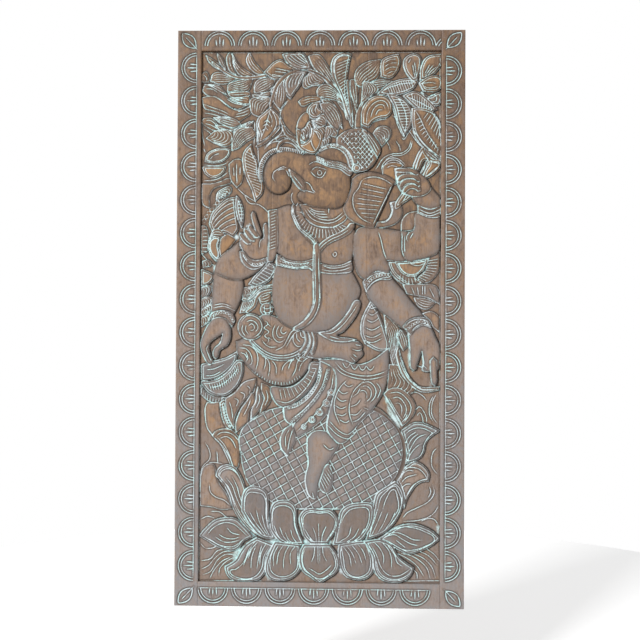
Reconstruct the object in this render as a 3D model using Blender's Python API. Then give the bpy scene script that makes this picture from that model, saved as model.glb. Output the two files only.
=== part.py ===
"""Carved timber wall panel: a framed relief of a seated elephant-headed figure over a lotus.

Three upright boards carry the relief. Two stiles and two rails with scalloped borders frame them.
X runs to the right, Z up, and the carved face looks towards -Y. The back lies in the plane y = 0,
with the origin at its centre.
"""
import bpy
import bmesh
import numpy as np
from mathutils import Vector
from mathutils.geometry import delaunay_2d_cdt

# Driving dimensions, metres
PANEL_WIDTH = 0.9144
PANEL_HEIGHT = 1.8288
THICKNESS = 0.038
GROUND_DEPTH = 0.009
STILE_WIDTH = 0.075
TOP_RAIL_WIDTH = 0.0645
BOTTOM_RAIL_WIDTH = 0.077
BOARD_JOINTS = (-0.1557, 0.1492)
GAP = 0.0003

# Scalloped border, metres
SCALLOP_RADIUS = 0.047
SCALLOP_BAND = 0.0085
GROOVE_DEPTH = 0.002
FILLET_WIDTH = 0.0155
LEFT_SCALLOPS = (0.7952, -0.7869, 16)
RIGHT_SCALLOPS = (0.7835, -0.7809, 16)
TOP_SCALLOPS = (-0.3239, 0.3157, 7)
BOTTOM_SCALLOPS = (-0.3344, 0.3035, 7)
LEAF_PLACE = (0.013, 0.009)
LEAF_SPAN = (0.044, 0.047)
LEAF_FULLNESS = 0.27
LEAF_SHOULDER = 0.85
LEAF_RIM = 0.008
BOTTOM_FILLET_SHIFT = 0.004
ARC_STEPS = 6

# Facets, metres: how far a chord may leave its curve, and the rows that step down at an outline
FIGURE_CHORD_ERROR = 0.0029
LEAF_CHORD_ERROR = 0.0046
FIGURE_LEVEL = 0.0039
FINE_STEP = 0.003
SHORTEST_RUN = 7
TOP_ROW = 0.0008
FOOT_ROW = 0.0018
ROW_CLEARANCE = 0.0040
EDGE_CLEARANCE = 0.0026
BROAD_RIM = 0.025
DOME_ROW = 0.4
DOME_GRID = 0.055
DOME_CLEARANCE = 0.016
EDGE_HEIGHT_ERROR = 0.0012
WELD = 1e-5
ON_EDGE = 1e-6

# The panel's corners in the photograph, pixels
TOP_LEFT = (177.7, 29.7)
TOP_RIGHT = (465.8, 29.0)
BOTTOM_RIGHT = (464.3, 610.3)
BOTTOM_LEFT = (173.6, 606.3)
PIXEL = PANEL_HEIGHT / 578.0
MILLIMETRE = 0.001
CURVE_STEPS = 6


def on_panel(pixels):
    """Photo pixels to metres on the face: x to the right and z up from the panel's centre."""
    x, y = np.asarray(pixels, float).reshape(-1, 2).T
    down = (y - TOP_LEFT[1]) / (BOTTOM_LEFT[1] - TOP_LEFT[1])
    left = TOP_LEFT[0] + down * (BOTTOM_LEFT[0] - TOP_LEFT[0])
    right = TOP_RIGHT[0] + down * (BOTTOM_RIGHT[0] - TOP_RIGHT[0])
    across = (x - left) / (right - left)
    top = TOP_LEFT[1] + across * (TOP_RIGHT[1] - TOP_LEFT[1])
    bottom = BOTTOM_LEFT[1] + across * (BOTTOM_RIGHT[1] - BOTTOM_LEFT[1])
    down = (y - top) / (bottom - top)
    return np.column_stack([(across - 0.5) * PANEL_WIDTH, (0.5 - down) * PANEL_HEIGHT])


def read_path(path):
    """A path's points, its widths if it has any, and which points are sharp corners (!)."""
    words = path.split()
    corners = np.array([word.endswith("!") for word in words])
    values = np.array([[float(v) for v in word.rstrip("!").split(",")] for word in words])
    return values, corners


def smooth(values, corners, closed):
    """A curve through every point: each stretch is a cubic that follows its neighbours' slope."""
    count = len(values)
    ahead = np.roll(values, -1, axis=0)
    behind = np.roll(values, 1, axis=0)
    if not closed:
        ahead[-1] = values[-1]
        behind[0] = values[0]
    slope = ahead - behind
    slope /= np.linalg.norm(slope[:, :2], axis=1)[:, None] + 1e-12
    curve = []
    for i in range(count if closed else count - 1):
        j = (i + 1) % count
        chord = values[j] - values[i]
        length = np.linalg.norm(chord[:2])
        leave = chord if corners[i] else slope[i] * length
        arrive = chord if corners[j] else slope[j] * length
        t = np.linspace(0, 1, CURVE_STEPS, endpoint=False)[:, None]
        curve.append((2 * t**3 - 3 * t**2 + 1) * values[i] + (t**3 - 2 * t**2 + t) * leave
                     + (3 * t**2 - 2 * t**3) * values[j] + (t**3 - t**2) * arrive)
    if not closed:
        curve.append(values[-1:])
    return np.vstack(curve)


def closed_outline(path):
    """The closed outline that a path of pixels draws, in metres."""
    values, corners = read_path(path)
    return on_panel(smooth(values, corners, True))


def swept_outline(path):
    """The outline of a limb whose path gives x, y and half its width, in pixels."""
    values, corners = read_path(path)
    line = smooth(values, corners, False)
    along = np.gradient(line[:, :2], axis=0)
    along /= np.linalg.norm(along, axis=1)[:, None] + 1e-12
    side = np.column_stack([-along[:, 1], along[:, 0]]) * line[:, 2:]
    tip = line[-1, :2] + along[-1] * line[-1, 2]
    tail = line[0, :2] - along[0] * line[0, 2]
    return on_panel(np.vstack([tail, line[:, :2] + side, tip, (line[:, :2] - side)[::-1]])), line[:, 2].max()


def circle(x, y, radius):
    """A round outline, from a centre and radius in pixels."""
    turn = np.linspace(0, 2 * np.pi, 24, endpoint=False)
    return on_panel(np.column_stack([x + radius * np.cos(turn), y + radius * np.sin(turn)]))


def distance_to(points, line, closed=True):
    """Each point's distance to a line of straight stretches."""
    start = line if closed else line[:-1]
    end = np.roll(line, -1, axis=0) if closed else line[1:]
    step = end - start
    length = (step**2).sum(axis=1) + 1e-18
    offset = points[:, None, :] - start[None]
    t = np.clip((offset * step).sum(axis=2) / length, 0, 1)
    return np.sqrt(((offset - t[:, :, None] * step) ** 2).sum(axis=2)).min(axis=1)


def inside(points, outline):
    """Which points lie inside a closed outline: a level ray crosses it an odd number of times."""
    ax, az = outline.T
    bx, bz = np.roll(outline, -1, axis=0).T
    px, pz = points[:, :1], points[:, 1:]
    straddles = (az > pz) != (bz > pz)
    rise = np.where(bz == az, 1e-18, bz - az)
    crossing = ax + (pz - az) / rise * (bx - ax)
    return (straddles & (px < crossing)).sum(axis=1) % 2 == 1


class Carving:
    """The forms of a relief in painter's order: each covers what lies under it."""

    def __init__(self):
        self.forms = []

    def add(self, outline, level, dome, rim):
        """One form: its outline, its edge's height, its dome above that, and its rim's rounding."""
        area = np.cross(outline, np.roll(outline, -1, axis=0)).sum()
        self.forms.append((outline if area > 0 else outline[::-1], level, dome, rim))

    def form(self, style, path):
        level, dome, rim = style
        self.add(closed_outline(path), level * MILLIMETRE, dome * MILLIMETRE, rim * PIXEL)

    def sweep(self, style, path):
        outline, half_width = swept_outline(path)
        self.add(outline, style[0] * MILLIMETRE, style[1] * MILLIMETRE, half_width * PIXEL)

    def ball(self, style, x, y, radius):
        level, dome, rim = style
        self.add(circle(x, y, radius), level * MILLIMETRE, dome * MILLIMETRE, min(rim, radius) * PIXEL)

    def height(self, points):
        """The relief's height over its ground at each point."""
        height = np.zeros(len(points))
        for outline, level, dome, rim in self.forms:
            within = (points > outline.min(axis=0)) & (points < outline.max(axis=0))
            near = np.flatnonzero(within.all(axis=1))
            near = near[inside(points[near], outline)]
            if len(near):
                reach = np.clip(distance_to(points[near], outline) / rim, 0, 1)
                height[near] = level + dome * np.sqrt(1 - (1 - reach) ** 2)
        return height

    def covered(self, points, first):
        """Which points a form from number first on covers, or comes close to."""
        hidden = np.zeros(len(points), bool)
        for outline, _, _, _ in self.forms[first:]:
            low, high = outline.min(axis=0) - ROW_CLEARANCE, outline.max(axis=0) + ROW_CLEARANCE
            near = np.flatnonzero(((points > low) & (points < high)).all(axis=1) & ~hidden)
            if len(near):
                close = distance_to(points[near], outline) < ROW_CLEARANCE
                hidden[near] = inside(points[near], outline) | close
        return hidden


# The carving, painted from the ground up: a later form covers what lies under it.
# Styles: height of a form's edge over the ground and its dome above that (mm), and the rim's
# rounding (photo pixels). A sweep's points carry a half-width, and its section is a full round.
STEM = (1.6, 1.2, 2.0)
LEAF = (2.0, 2.2, 3.0)
PLAIN = (2.2, 1.8, 3.5)
LEAF_HIGH = (3.2, 2.4, 3.5)
POD = (3.5, 2.0, 8.0)
RIM = (2.6, 1.0, 2.0)
PETAL = (4.5, 2.6, 7.0)
PETAL_FRONT = (5.6, 2.4, 7.0)
CLOTH = (4.2, 3.0, 9.0)
BAND = (5.2, 2.0, 5.0)
LEG = (4.8, 4.0, 10.0)
ARM = (4.8, 4.2, 11.0)
ARM_FRONT = (5.4, 3.6, 12.0)
HAND = (5.8, 3.2, 6.0)
FINGER = (7.0, 2.0, 3.0)
BELLY = (4.0, 5.0, 26.0)
CHEST = (4.8, 3.6, 13.0)
CORD = (7.6, 1.4, 2.5)
EAR = (4.8, 2.6, 5.0)
CHEEK = (5.4, 3.6, 12.0)
CROWN = (5.8, 3.2, 12.0)


def upper_left_leaves(art):
    art.form(PLAIN, "202,90! 205,84 212.5,85 218,88 226,96 233,100.5 247,104.5! 238.5,108.5 232,107.5 "
                    "226,103.5 220.5,99 214.5,95.7 208,95")
    art.form(PLAIN, "201.5,97! 208,95.8 214.5,96.5 220.5,100 226,104.5 232,108.3 240,110 250,106! "
                    "250.5,113 244,118 239,121.5! 233,119.5 228,116 221,113 212.5,110 204.5,107.5")
    art.form(PLAIN, "201,73! 206,71 209,78 208,81! 201,81!")
    art.form(LEAF, "210.5,80! 212,74 216,71.5 222,72 229,75 237,77.5! 229,82 219,83")
    art.form(LEAF, "205.5,54! 212,58 218,62.5 225,70! 216,67 209,61")
    art.form(LEAF, "216.6,52! 221.5,56 224,61 225.5,69! 220.5,63 218,57.5")
    art.form(LEAF, "229.5,51! 232,55 232.5,62 236,74! 230,70 227,63 226.5,56")
    art.form(LEAF, "232,52! 237,61 244,68 255,75! 245,76 238,72 234,64.5")
    art.form(LEAF, "249.5,51! 254,60 259,66 265,73! 258,73 251,68 246.5,59")
    art.form(LEAF, "204,83! 214,84 220,85.5 226.5,94! 219,90 211,85.5")
    art.form(LEAF, "227.5,91! 228,84 233.5,81 241,79 253,77.5! 251.5,83 248,90 238,91")
    art.form(LEAF, "228,92.5! 238,91.5 249,91.5 250,95! 240,96.5 231,96")
    art.form(LEAF, "229,97! 239,97.5 248.5,96 249,103.5! 240,102 233,99.5")
    art.form(LEAF, "254.5,91.5! 254.5,85 257,80 263,77 270,77 275,79.5! 272,86 266,91 260,92")
    art.form(LEAF, "252,94! 260,93.5 271,90.5! 270,95 262,95.5 255,96.5")
    art.form(LEAF, "251,98.5 260,96.8 271.5,97! 270,104.5 265,111.5 259,116! 252.5,113 250.5,106")
    art.form(LEAF_HIGH, "264.5,71.2! 271,64 277.5,59.3 283,59.3 289,64 299,68.5! 290,73.5 282,77 275.5,78 "
                        "269.5,75.5")
    art.form(LEAF_HIGH, "289,73 284.5,80 284.5,88 287,94.5 291,98! 296,91 301,84 305,76 308,69.5! "
                        "300,70.5 294,71.5")
    art.form(LEAF, "283,78! 284.5,86 286.5,95 283,106.5 280,108.5! 275.5,103.5 273.5,99 275,91 278,84")
    art.form(LEAF, "272,93! 274,90 279,84 281,80! 276,84.5 272,88")
    art.form(LEAF_HIGH, "271,106.5! 277,112 281,117.5 281,126.5 275.5,133.5 267.5,139.5 257.5,144.5! "
                        "259.5,134 257,126 258.5,118 264.5,112.5")
    art.sweep(STEM, "300,68.5,1.1 290,72.5,1.5 283,77.5,1.7 277,85,1.5 273,96,1.4 270.5,106,1.1")
    art.sweep(STEM, "266,74.5,1.1 256,76.3,1.2 246,77,1.2 236,76,1.1 227,72,.9 218,66,.8 212,61,.6")
    art.form(LEAF, "203,118! 211,118 217,124 223,131! 214,130 206,126 201,122!")
    art.form(LEAF, "213,117! 226,116.5 236,119.5 241,124! 233,127 223,124")
    art.form(LEAF, "215,125! 224,125.5 233,128.5 239,128! 231,132 222,131")
    art.form(LEAF, "253.5,120.5! 250,128 245,134 236,140.5! 238,133 244,127")
    art.form(LEAF, "235,129! 242,124.5 250,121! 246,126 240,130 233,136")
    art.sweep(STEM, "281,119,.9 284,126,1.2 289,132,1.2 296,138,1.1 302,142,.8")


def upper_middle_leaves(art):
    art.form(LEAF_HIGH, "283,53! 295,51.5 303,52 309,60 312,68! 299,68 288,62")
    art.form(LEAF, "309,55! 314,53.5 320,54 326.5,62 334,75.5 343,95 348,115! 340,104 332,88 322,75 314,66")
    art.sweep(STEM, "309,69,1 316,71.5,1.2 324,76,1.3 333,85,1.4 341,96,1.4 346,108,1.3 348,118,1")
    art.form(LEAF, "311,71! 318,74 325,80 322,84! 313,85 305,87 304,79")
    art.form(LEAF, "318.5,96! 317.5,90 322,84.5 328,84 334,87.5 339,93 344,103! 336,99.5 328,98")
    art.form(LEAF, "322,99! 330,100 337,107 341,117 343,128! 337,119 330,110")
    art.form(LEAF, "299,101! 303,97.5 310,95.8 318,96 322,98! 319,101 311,102.5 303,105.5")
    art.form(LEAF, "321,103! 330,102.5 339,110 342,122 338,131! 331,124 324,114")
    art.form(LEAF_HIGH, "321,101! 313,103 308,109 309,115 315,118.5 321,116 324,111 319,107")
    art.form(LEAF, "297,128! 299,120 303,114 307,112 310,116 308,124 303,130")
    art.form(LEAF, "312,120! 317,119 323,114 327,119 326,125! 320,126")
    art.form(LEAF, "300,131! 306,127 310,121.5 313,126 312,134 305,142! 301,139")
    art.form(LEAF, "313,122! 318,126 325,127 328,132 324,138! 318,134")
    art.form(LEAF, "313,128! 317,135 318,143 316,152! 312,146 310,138")
    art.form(LEAF, "327,126! 332,126 338,132 336,137! 330,134")
    art.form(LEAF, "319,140! 325,139 331,138 329,144 322,148!")
    art.form(LEAF_HIGH, "352,53! 344,51.5 335,56 332,65 334,78 341,93 347,112 352,125! 351,108 347,92 "
                        "348,74 350,61")
    art.form(LEAF, "351,79! 355,79 358.5,84 358.5,95 357.5,112! 354,100 351,90")
    art.sweep(STEM, "348,80,.9 349.5,95,1.1 351.5,110,1.3 353,125,1.4")
    art.sweep(STEM, "378,90,1 369,96,1.6 363,105,2.2 359.5,115,2.8 359,127,3")


def upper_right_leaves(art):
    art.form(LEAF, "357,84! 355.5,77 357,69.5 363,63.5 371.5,59.8 381,58.5! 381.5,67 378,77 371.5,81 "
                   "363,86")
    art.form(LEAF_HIGH, "382,76! 382.5,60 389,55.5 399,53! 401,60 399,69 392,77")
    art.form(LEAF, "371,82! 380,79 393,80.5! 385,86 376,88")
    art.form(LEAF_HIGH, "378,93.5! 387,85 397,80 410,78 419,80.5! 414,88 405,92.5 392,95")
    art.form(LEAF, "364,81! 372,82 378,88 375,93 367,99 362,102!")
    art.form(LEAF_HIGH, "413,80! 406,70 405,59 413,53 421,56 421,68 418,79!")
    art.form(LEAF_HIGH, "421,79! 422,66 428,56 442,53! 442,63 435,73 426,78")
    art.form(LEAF_HIGH, "420,82! 430,76 440,76 443,83 439,90 430,91 424,90!")
    art.form(LEAF_HIGH, "422,91! 430,96 440,92 442,98 439,105 430,103")
    art.form(LEAF_HIGH, "404,95! 416,91 427,98 438,109! 426,113 414,105")
    art.form(LEAF_HIGH, "388,93! 397,95 407,101 413,112 412,125 405,136! 399,121 395,106")
    art.form(LEAF_HIGH, "413,108! 424,108 434,112 441,123! 442,162 428,151 417,138 413,122")
    art.form(LEAF, "424.5,148! 433,153 441,160.5 441,164! 431,160 426,155")
    art.form(LEAF_HIGH, "362,124! 363,110 369,100 377,95.5 386,96 392,102 392.5,111 388,116.5 380,118 "
                        "374,121 369,127!")


def left_side_leaves(art):
    art.form(LEAF, "214,131! 224,129 233,133 234,141 226,146 215,143 206,138!")
    art.form(PLAIN, "204.6,161.5! 207,154 214.7,149.3 223.5,148 230,149.3! 228.6,155.2 222.3,161 "
                    "213.4,163!")
    art.form(LEAF, "202,167! 225.5,167! 223.5,172 218.5,176.3 211,177.6 204.6,173.3!")
    art.form(PLAIN, "201.5,184! 211,184 219.7,182 229,178.5 231,183! 224.8,185 217.2,186.9 212.2,190 "
                    "209,197 209,208.4! 203,205 201.5,200!")
    art.form(LEAF, "216,200! 217,193.5 222,189.5 229.5,187 231,192 226,196.5!")
    art.form(PLAIN, "229,164! 234.9,159.5 241,160 243,166 243,175.5 241.2,183 236.8,187.5! 231.5,181 "
                    "229.5,173")
    art.form(LEAF_HIGH, "251,144! 254,153.9 258,163 258.5,173 263,182 262.6,193.2 255.5,201.5! 252,189.4 "
                        "246.2,176.8 243.2,164 244,152.7")
    art.form(LEAF, "232,150! 232,140 238,129 252,127! 256,135 247,141 238,148")
    art.sweep(STEM, "257,146,1 266,141,1.3 274,133,1.3 279,127,1")
    art.form(LEAF_HIGH, "209,224! 212,214 219,206 227,199.5 235,197.5! 235.5,208 237,219 238,230 "
                        "233,237.5! 224,233 214,233")
    art.form(LEAF_HIGH, "236.5,196! 240.5,201 243.5,212 243.3,222 241.8,228.5! 238,219 235.8,208")
    art.form(LEAF, "201,226! 206,228 208,240 207,252! 201,255!")
    art.form(LEAF, "209,240! 213,231 219,230 225,236! 219,238 213,237")
    art.form(LEAF_HIGH, "209,241! 214,237.5 219.5,239 218,246 219.5,256 217,262! 211,256 208,248")
    art.form(LEAF, "221,239! 227,235.5 236,240! 230,248 221,258! 219.5,248")
    art.form(LEAF, "202,262! 208,261 211,266 203,268!")
    art.form(LEAF_HIGH, "201,270! 212,275 213,279 208,285 201,286.5!")
    art.form(LEAF, "201,288! 210,287 211,291 207,297 201,299!")
    art.form(LEAF, "201,300! 209,298 213,301 209,307 201,310!")
    art.form(LEAF, "201,311! 212,305 212,311 205,317 201,317!")
    art.form(LEAF, "201,319! 208,316 210,321 206,325 201,328!")


def waist_leaves(art):
    art.form(LEAF_HIGH, "269,262! 276,267 275,274 269,282 258,287 249,285! 256,276 264,268")
    art.form(LEAF, "243,289! 256,287 262,287 255,294 250,300 243,301!")
    art.form(LEAF, "243,303! 251,302 256,298 255,305 249,312 240,314!")
    art.form(LEAF, "259,298! 265,294 271,294! 271,302 262,305")
    art.sweep(STEM, "243,300.5,1.1 251,299,1.3 257,293,1.4 263,288.5,1.4 272,287,1.2")
    art.sweep(STEM, "247,313,.9 254,307,1.2 257,299,1.3 262,294,1.4 272,291.5,1.2")
    art.ball(LEAF_HIGH, 267, 310.5, 6.2)


def beside_the_ear(art):
    art.form(LEAF, "374,133! 378.5,127.5 385,126 391,129.5 390.5,137 382.5,146.5! 378,139")
    art.form(LEAF, "378,223! 388,220.5 392.5,212 391,203! 399,203 403,212 400,221 391,226.5 375,229.5!")
    art.form(STEM, "402,232! 403,221 409,214 418.5,212! 416,226 413,231!")
    art.form(LEAF, "384,166! 391,163 398,163 403,166 397,171 397,184 391,182 384,177")


def below_the_arm(art):
    art.form(LEAF, "428,259! 440,252! 440,270 433,281 424,284 418,280! 427,270")
    art.form(LEAF_HIGH, "387,261.5! 400,262 412,261.5 430,259! 425,271 417,277.5 424,284 409,287 397,280 "
                        "390,271")
    art.form(LEAF_HIGH, "396,263! 412,262.5 429,260! 424,270 417,276.5 409,277 402,273")
    art.form(LEAF, "404,286! 420,285.5 436,287 440,296 440,305! 429,299 417,296.5 408,295!")
    art.form(LEAF, "415,299! 426,300 436,304! 430,309.5 424,310 418,306")
    art.form(LEAF, "423,315! 431,313 437,315.5 440,319! 440,333! 434,328 431,322")
    art.form(LEAF, "398,330! 404,333 408.5,340 408.5,347 404,352! 400,343")
    art.form(LEAF, "385,316! 392,321 400,329 399,336 401,356 407,372! 402,380 394,366 390,350 387,334")
    art.form(LEAF_HIGH, "372,302! 380,316 386,333 389,350 380,352 366,345! 362,335 363,320")
    for low in (309, 315.5, 322.5, 330.5, 338, 343):
        spread = 4 + (low - 309) * 0.15


def lower_right_leaves(art):
    art.form(LEAF, "390,366! 402,368 408,378 417,388 410,397 398,399 388,392!")
    art.form(LEAF_HIGH, "399,344! 400.5,356 405,369 411,379 421,388.5 440,388.5! 440,391.5! 430,393.5 "
                        "420,392.5 408,382.5 401,370 397,356!")
    art.form(PLAIN, "384.7,395.6! 390,391 400,390 410,397 415.5,405 416,413 411,421 403,427.8!")
    art.form(LEAF_HIGH, "402.1,432.4! 408,428.5 413.7,424.7 421.5,424.2 429.2,426.6 441,432.4! 435,436.3 "
                        "429.2,441.1 426.3,447 425.3,452.7 421.4,459.5 413.7,463.3 405.9,465.3! "
                        "407.9,456.6 406.5,447.9 404,438.2")
    art.form(LEAF_HIGH, "404,470.1! 408.8,467 413.7,463.8 419.5,464.3 426.3,469.1 430.3,476 429.2,483! "
                        "422.4,483.8 416.6,487.5 411.8,494.3 407.9,501.1 405,509.8! 404,499.1 401.1,489.4 "
                        "397.2,481.7!")


def lower_left_leaves(art):
    art.form(LEAF_HIGH, "201,366! 212,363 226,359 237,353! 236,362 229,371 218,379 208,381.5 201,381.5!")
    art.form(LEAF_HIGH, "201,382.5! 209,382.7 219,379.7 229,371.7 237,362 243,362! 243,374 240,383 "
                        "235,390 226,396.5 217,397 208,393 201,384.5!")
    art.form(LEAF, "200,386! 206,394 216,399 225,399! 220,404 210,403 203,398 200,395!")
    art.form(PLAIN, "207,404! 213,404.5 219,404 219.5,410 220.8,416.5 224.7,427 230,430.5! 222,431 "
                    "212.5,437! 207,429 205,417 205,409")
    art.form(LEAF_HIGH, "220,404! 225,402 226,412 228.5,421 234,430! 228,430 223,421 221,412")
    art.form(PLAIN, "225.5,400! 235,394 244,384 256,380! 256,386 250.7,394.3 239,408.7 233.8,421.7 "
                    "234,430! 228.5,420 226,410")
    art.form(PLAIN, "252,394! 255,399 254.6,405 249,412.5 248,424! 243,428 236,434! 236,424 241,411 "
                    "248,401")
    art.form(PLAIN, "258,388! 261,395 263.5,401 261,409 256,416 251,421! 252,411 256,403 256.5,396")
    art.form(PLAIN, "262,384.5! 270,389 272,398 268,407 260,416.5! 262,408 264.5,400 262,392")
    art.form(LEAF, "212,437! 216,432.5 223,430.5 231,431.5 239,439! 240,450 238,468 234,470! 229,458 "
                   "222,447")
    art.form(PLAIN, "200,478! 204,468 213,466 216,477 219,485 226,495 232,510! 222,511 212,508.5 200,507!")
    art.form(LEAF_HIGH, "216,477! 218,471 223,467 229,466.5 236,470 242,480 247,494! 247,510 252,522 "
                        "262,533 255,537! 243,525 234,511 229,496 223,485")


def seed_pod(art):
    art.form(RIM, "300,404! 340,400! 378,409.5 386,415.5 394,424 401,433 405.3,443 406.8,455 405.8,466 "
                  "399.5,480 388,492 375,504 362,511! 300,511!")
    art.form(POD, "239,440! 243,430 253,421 265,413 280,409! 340,402! 376,413 388,421 398,433 402.5,448 "
                  "402,462 396,478 385,491 373,503 360,510! 284,510! 266,499 250,486 243.5,470 240.5,452")


def upper_petals(art):
    for outline in (
        "242,512! 243,497 248,489 258,488 267,494 269,506 270,526 277,541! 262,538 251,527",
        "375,503! 378,495 387,488.5 396,483! 402,489 405,499 403,510 396,524 384,535 367,541! 372,522",
        "270,522! 271,511 275,504 284,501.5 292,503.5 297,511 297.5,526 305,546! 283,544 272,532",
        "339,523! 342,512 349,506.5 359,504.5 370,504.5 374,508 374,520 369,533 360,543 334,546!",
        "301,527! 300,519 304,512.5 311,510 320,511 330,510.5 336,515 339.5,523 337,532 328,545! "
        "311,545! 304,537",
    ):
        art.form(PETAL, outline)
    art.form(PETAL, "199,537! 206,529 215,521.5 226,519 236,520 244,527 254,538! 245,542 239,549 231,552 "
                    "220,549 209,543")
    art.form(PETAL, "379,541! 389,534 400,527.5 413,525.5 424,528 433,532.5 441.5,540! 433,547 422,552.5 "
                    "410,555.5 399,551 389,545")


def lower_petals(art):
    for outline in (
        "257,539! 246,546 240,554 236,561 225,568! 228,577 236,582 250,582.5 260,580 266,572 268,558 "
        "275,546!",
        "275,543! 301,546! 300,556 302,568 295,578 283,582 271,580 266,572 268,558",
        "372,542! 358,543! 340,546! 339,556 341,568 346,577 356,581 367,580 374,573 375,560",
        "365,543! 380,540.5! 392,546 399,557 407,564 415,569! 411,578 403,583 390,583.5 380,579 375,570 "
        "373,557",
        "304,546! 331,546! 338,556 340,566 337,574 330,579 320,585! 311,578 303,572 300,562 301,552",
    ):
        art.form(PETAL_FRONT, outline)


def cloth_and_legs(art):
    art.form(ARM, "236,343! 238,355 244.6,363.6 257.8,376.8 272.2,385.2 289,386.4 299.8,380.4 308.2,370.8 "
                  "313,360! 313,350 300,340 260,335")
    art.form(BAND, "271,394! 272,388 283,389 294,387.5 303,381 309,373 312,364 321,364! 318,377 310,391 "
                   "297,403 286,408.5 277,405")
    art.form(BAND, "329,364! 337,368 338,383 333,398 330,410 323,421 312,430 301,437 295,438.5 292.5,430 "
                   "304,414 317,400 326,386")
    for x, y, radius in ((305, 428, 2.4), (313, 421, 3.0), (320.5, 413.5, 3.4),
                         (327.5, 404.5, 3.6), (332, 394, 3.2)):
        art.ball(BAND, x, y, radius)
    art.form(BAND, "284,409! 297,404.5 308,396 316,385 320,372 321,363! 330.5,363! 329.5,376 325,388 "
                   "317,401 305,414 293,425 286,421")
    art.form(BAND, "292,426! 285,431 281,440 282,450 288,457! 292,450 296,440")
    art.form(LEG, "308,440! 313,434 320,432 328,434 338,444 339,448 333,458 326,469 321,479 318,492 "
                  "316,500 310,497 307,489 306,479 309,465 308,453")
    art.form(BAND, "322,478! 328,466 332,470 333,486 330,493 325,494 320,487")
    art.form(CLOTH, "319,361! 340,361 360,366 374,361 389,350! 389.5,366 386.5,387 379,403 368,417 "
                    "358,427 349,441 341,445 334,440 328,431 329,418 333,402 337,385 334,370")
    art.form(LEG, "304,332! 318,334 335,340 351,342 359,343! 363,347 362.5,351 364,355.5 360,360 "
                  "354,364.5 347,362 339,360 329,359 318,360 306,357!")
    art.form(LEG, "249,340! 256,349.5 266,357.5 279,361.5 292,360.5 303,354.5 309.5,345 312.5,334! "
                  "301,326 281.8,320 264,316 255,325")
    art.ball(LEAF_HIGH, 251, 328, 13)
    art.sweep(BAND, "304.5,330,1.4 307,336,1.5 307.5,343,1.5 304,350,1.4 300,355,1.2")
    art.sweep(BAND, "309.5,332,1.4 312,338,1.5 312,345,1.5 309,352,1.4 305,358,1.2")
    art.sweep(BAND, "313.5,333,1.2 315.5,339,1.3 315.5,346,1.3 313,354,1.2")


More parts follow.
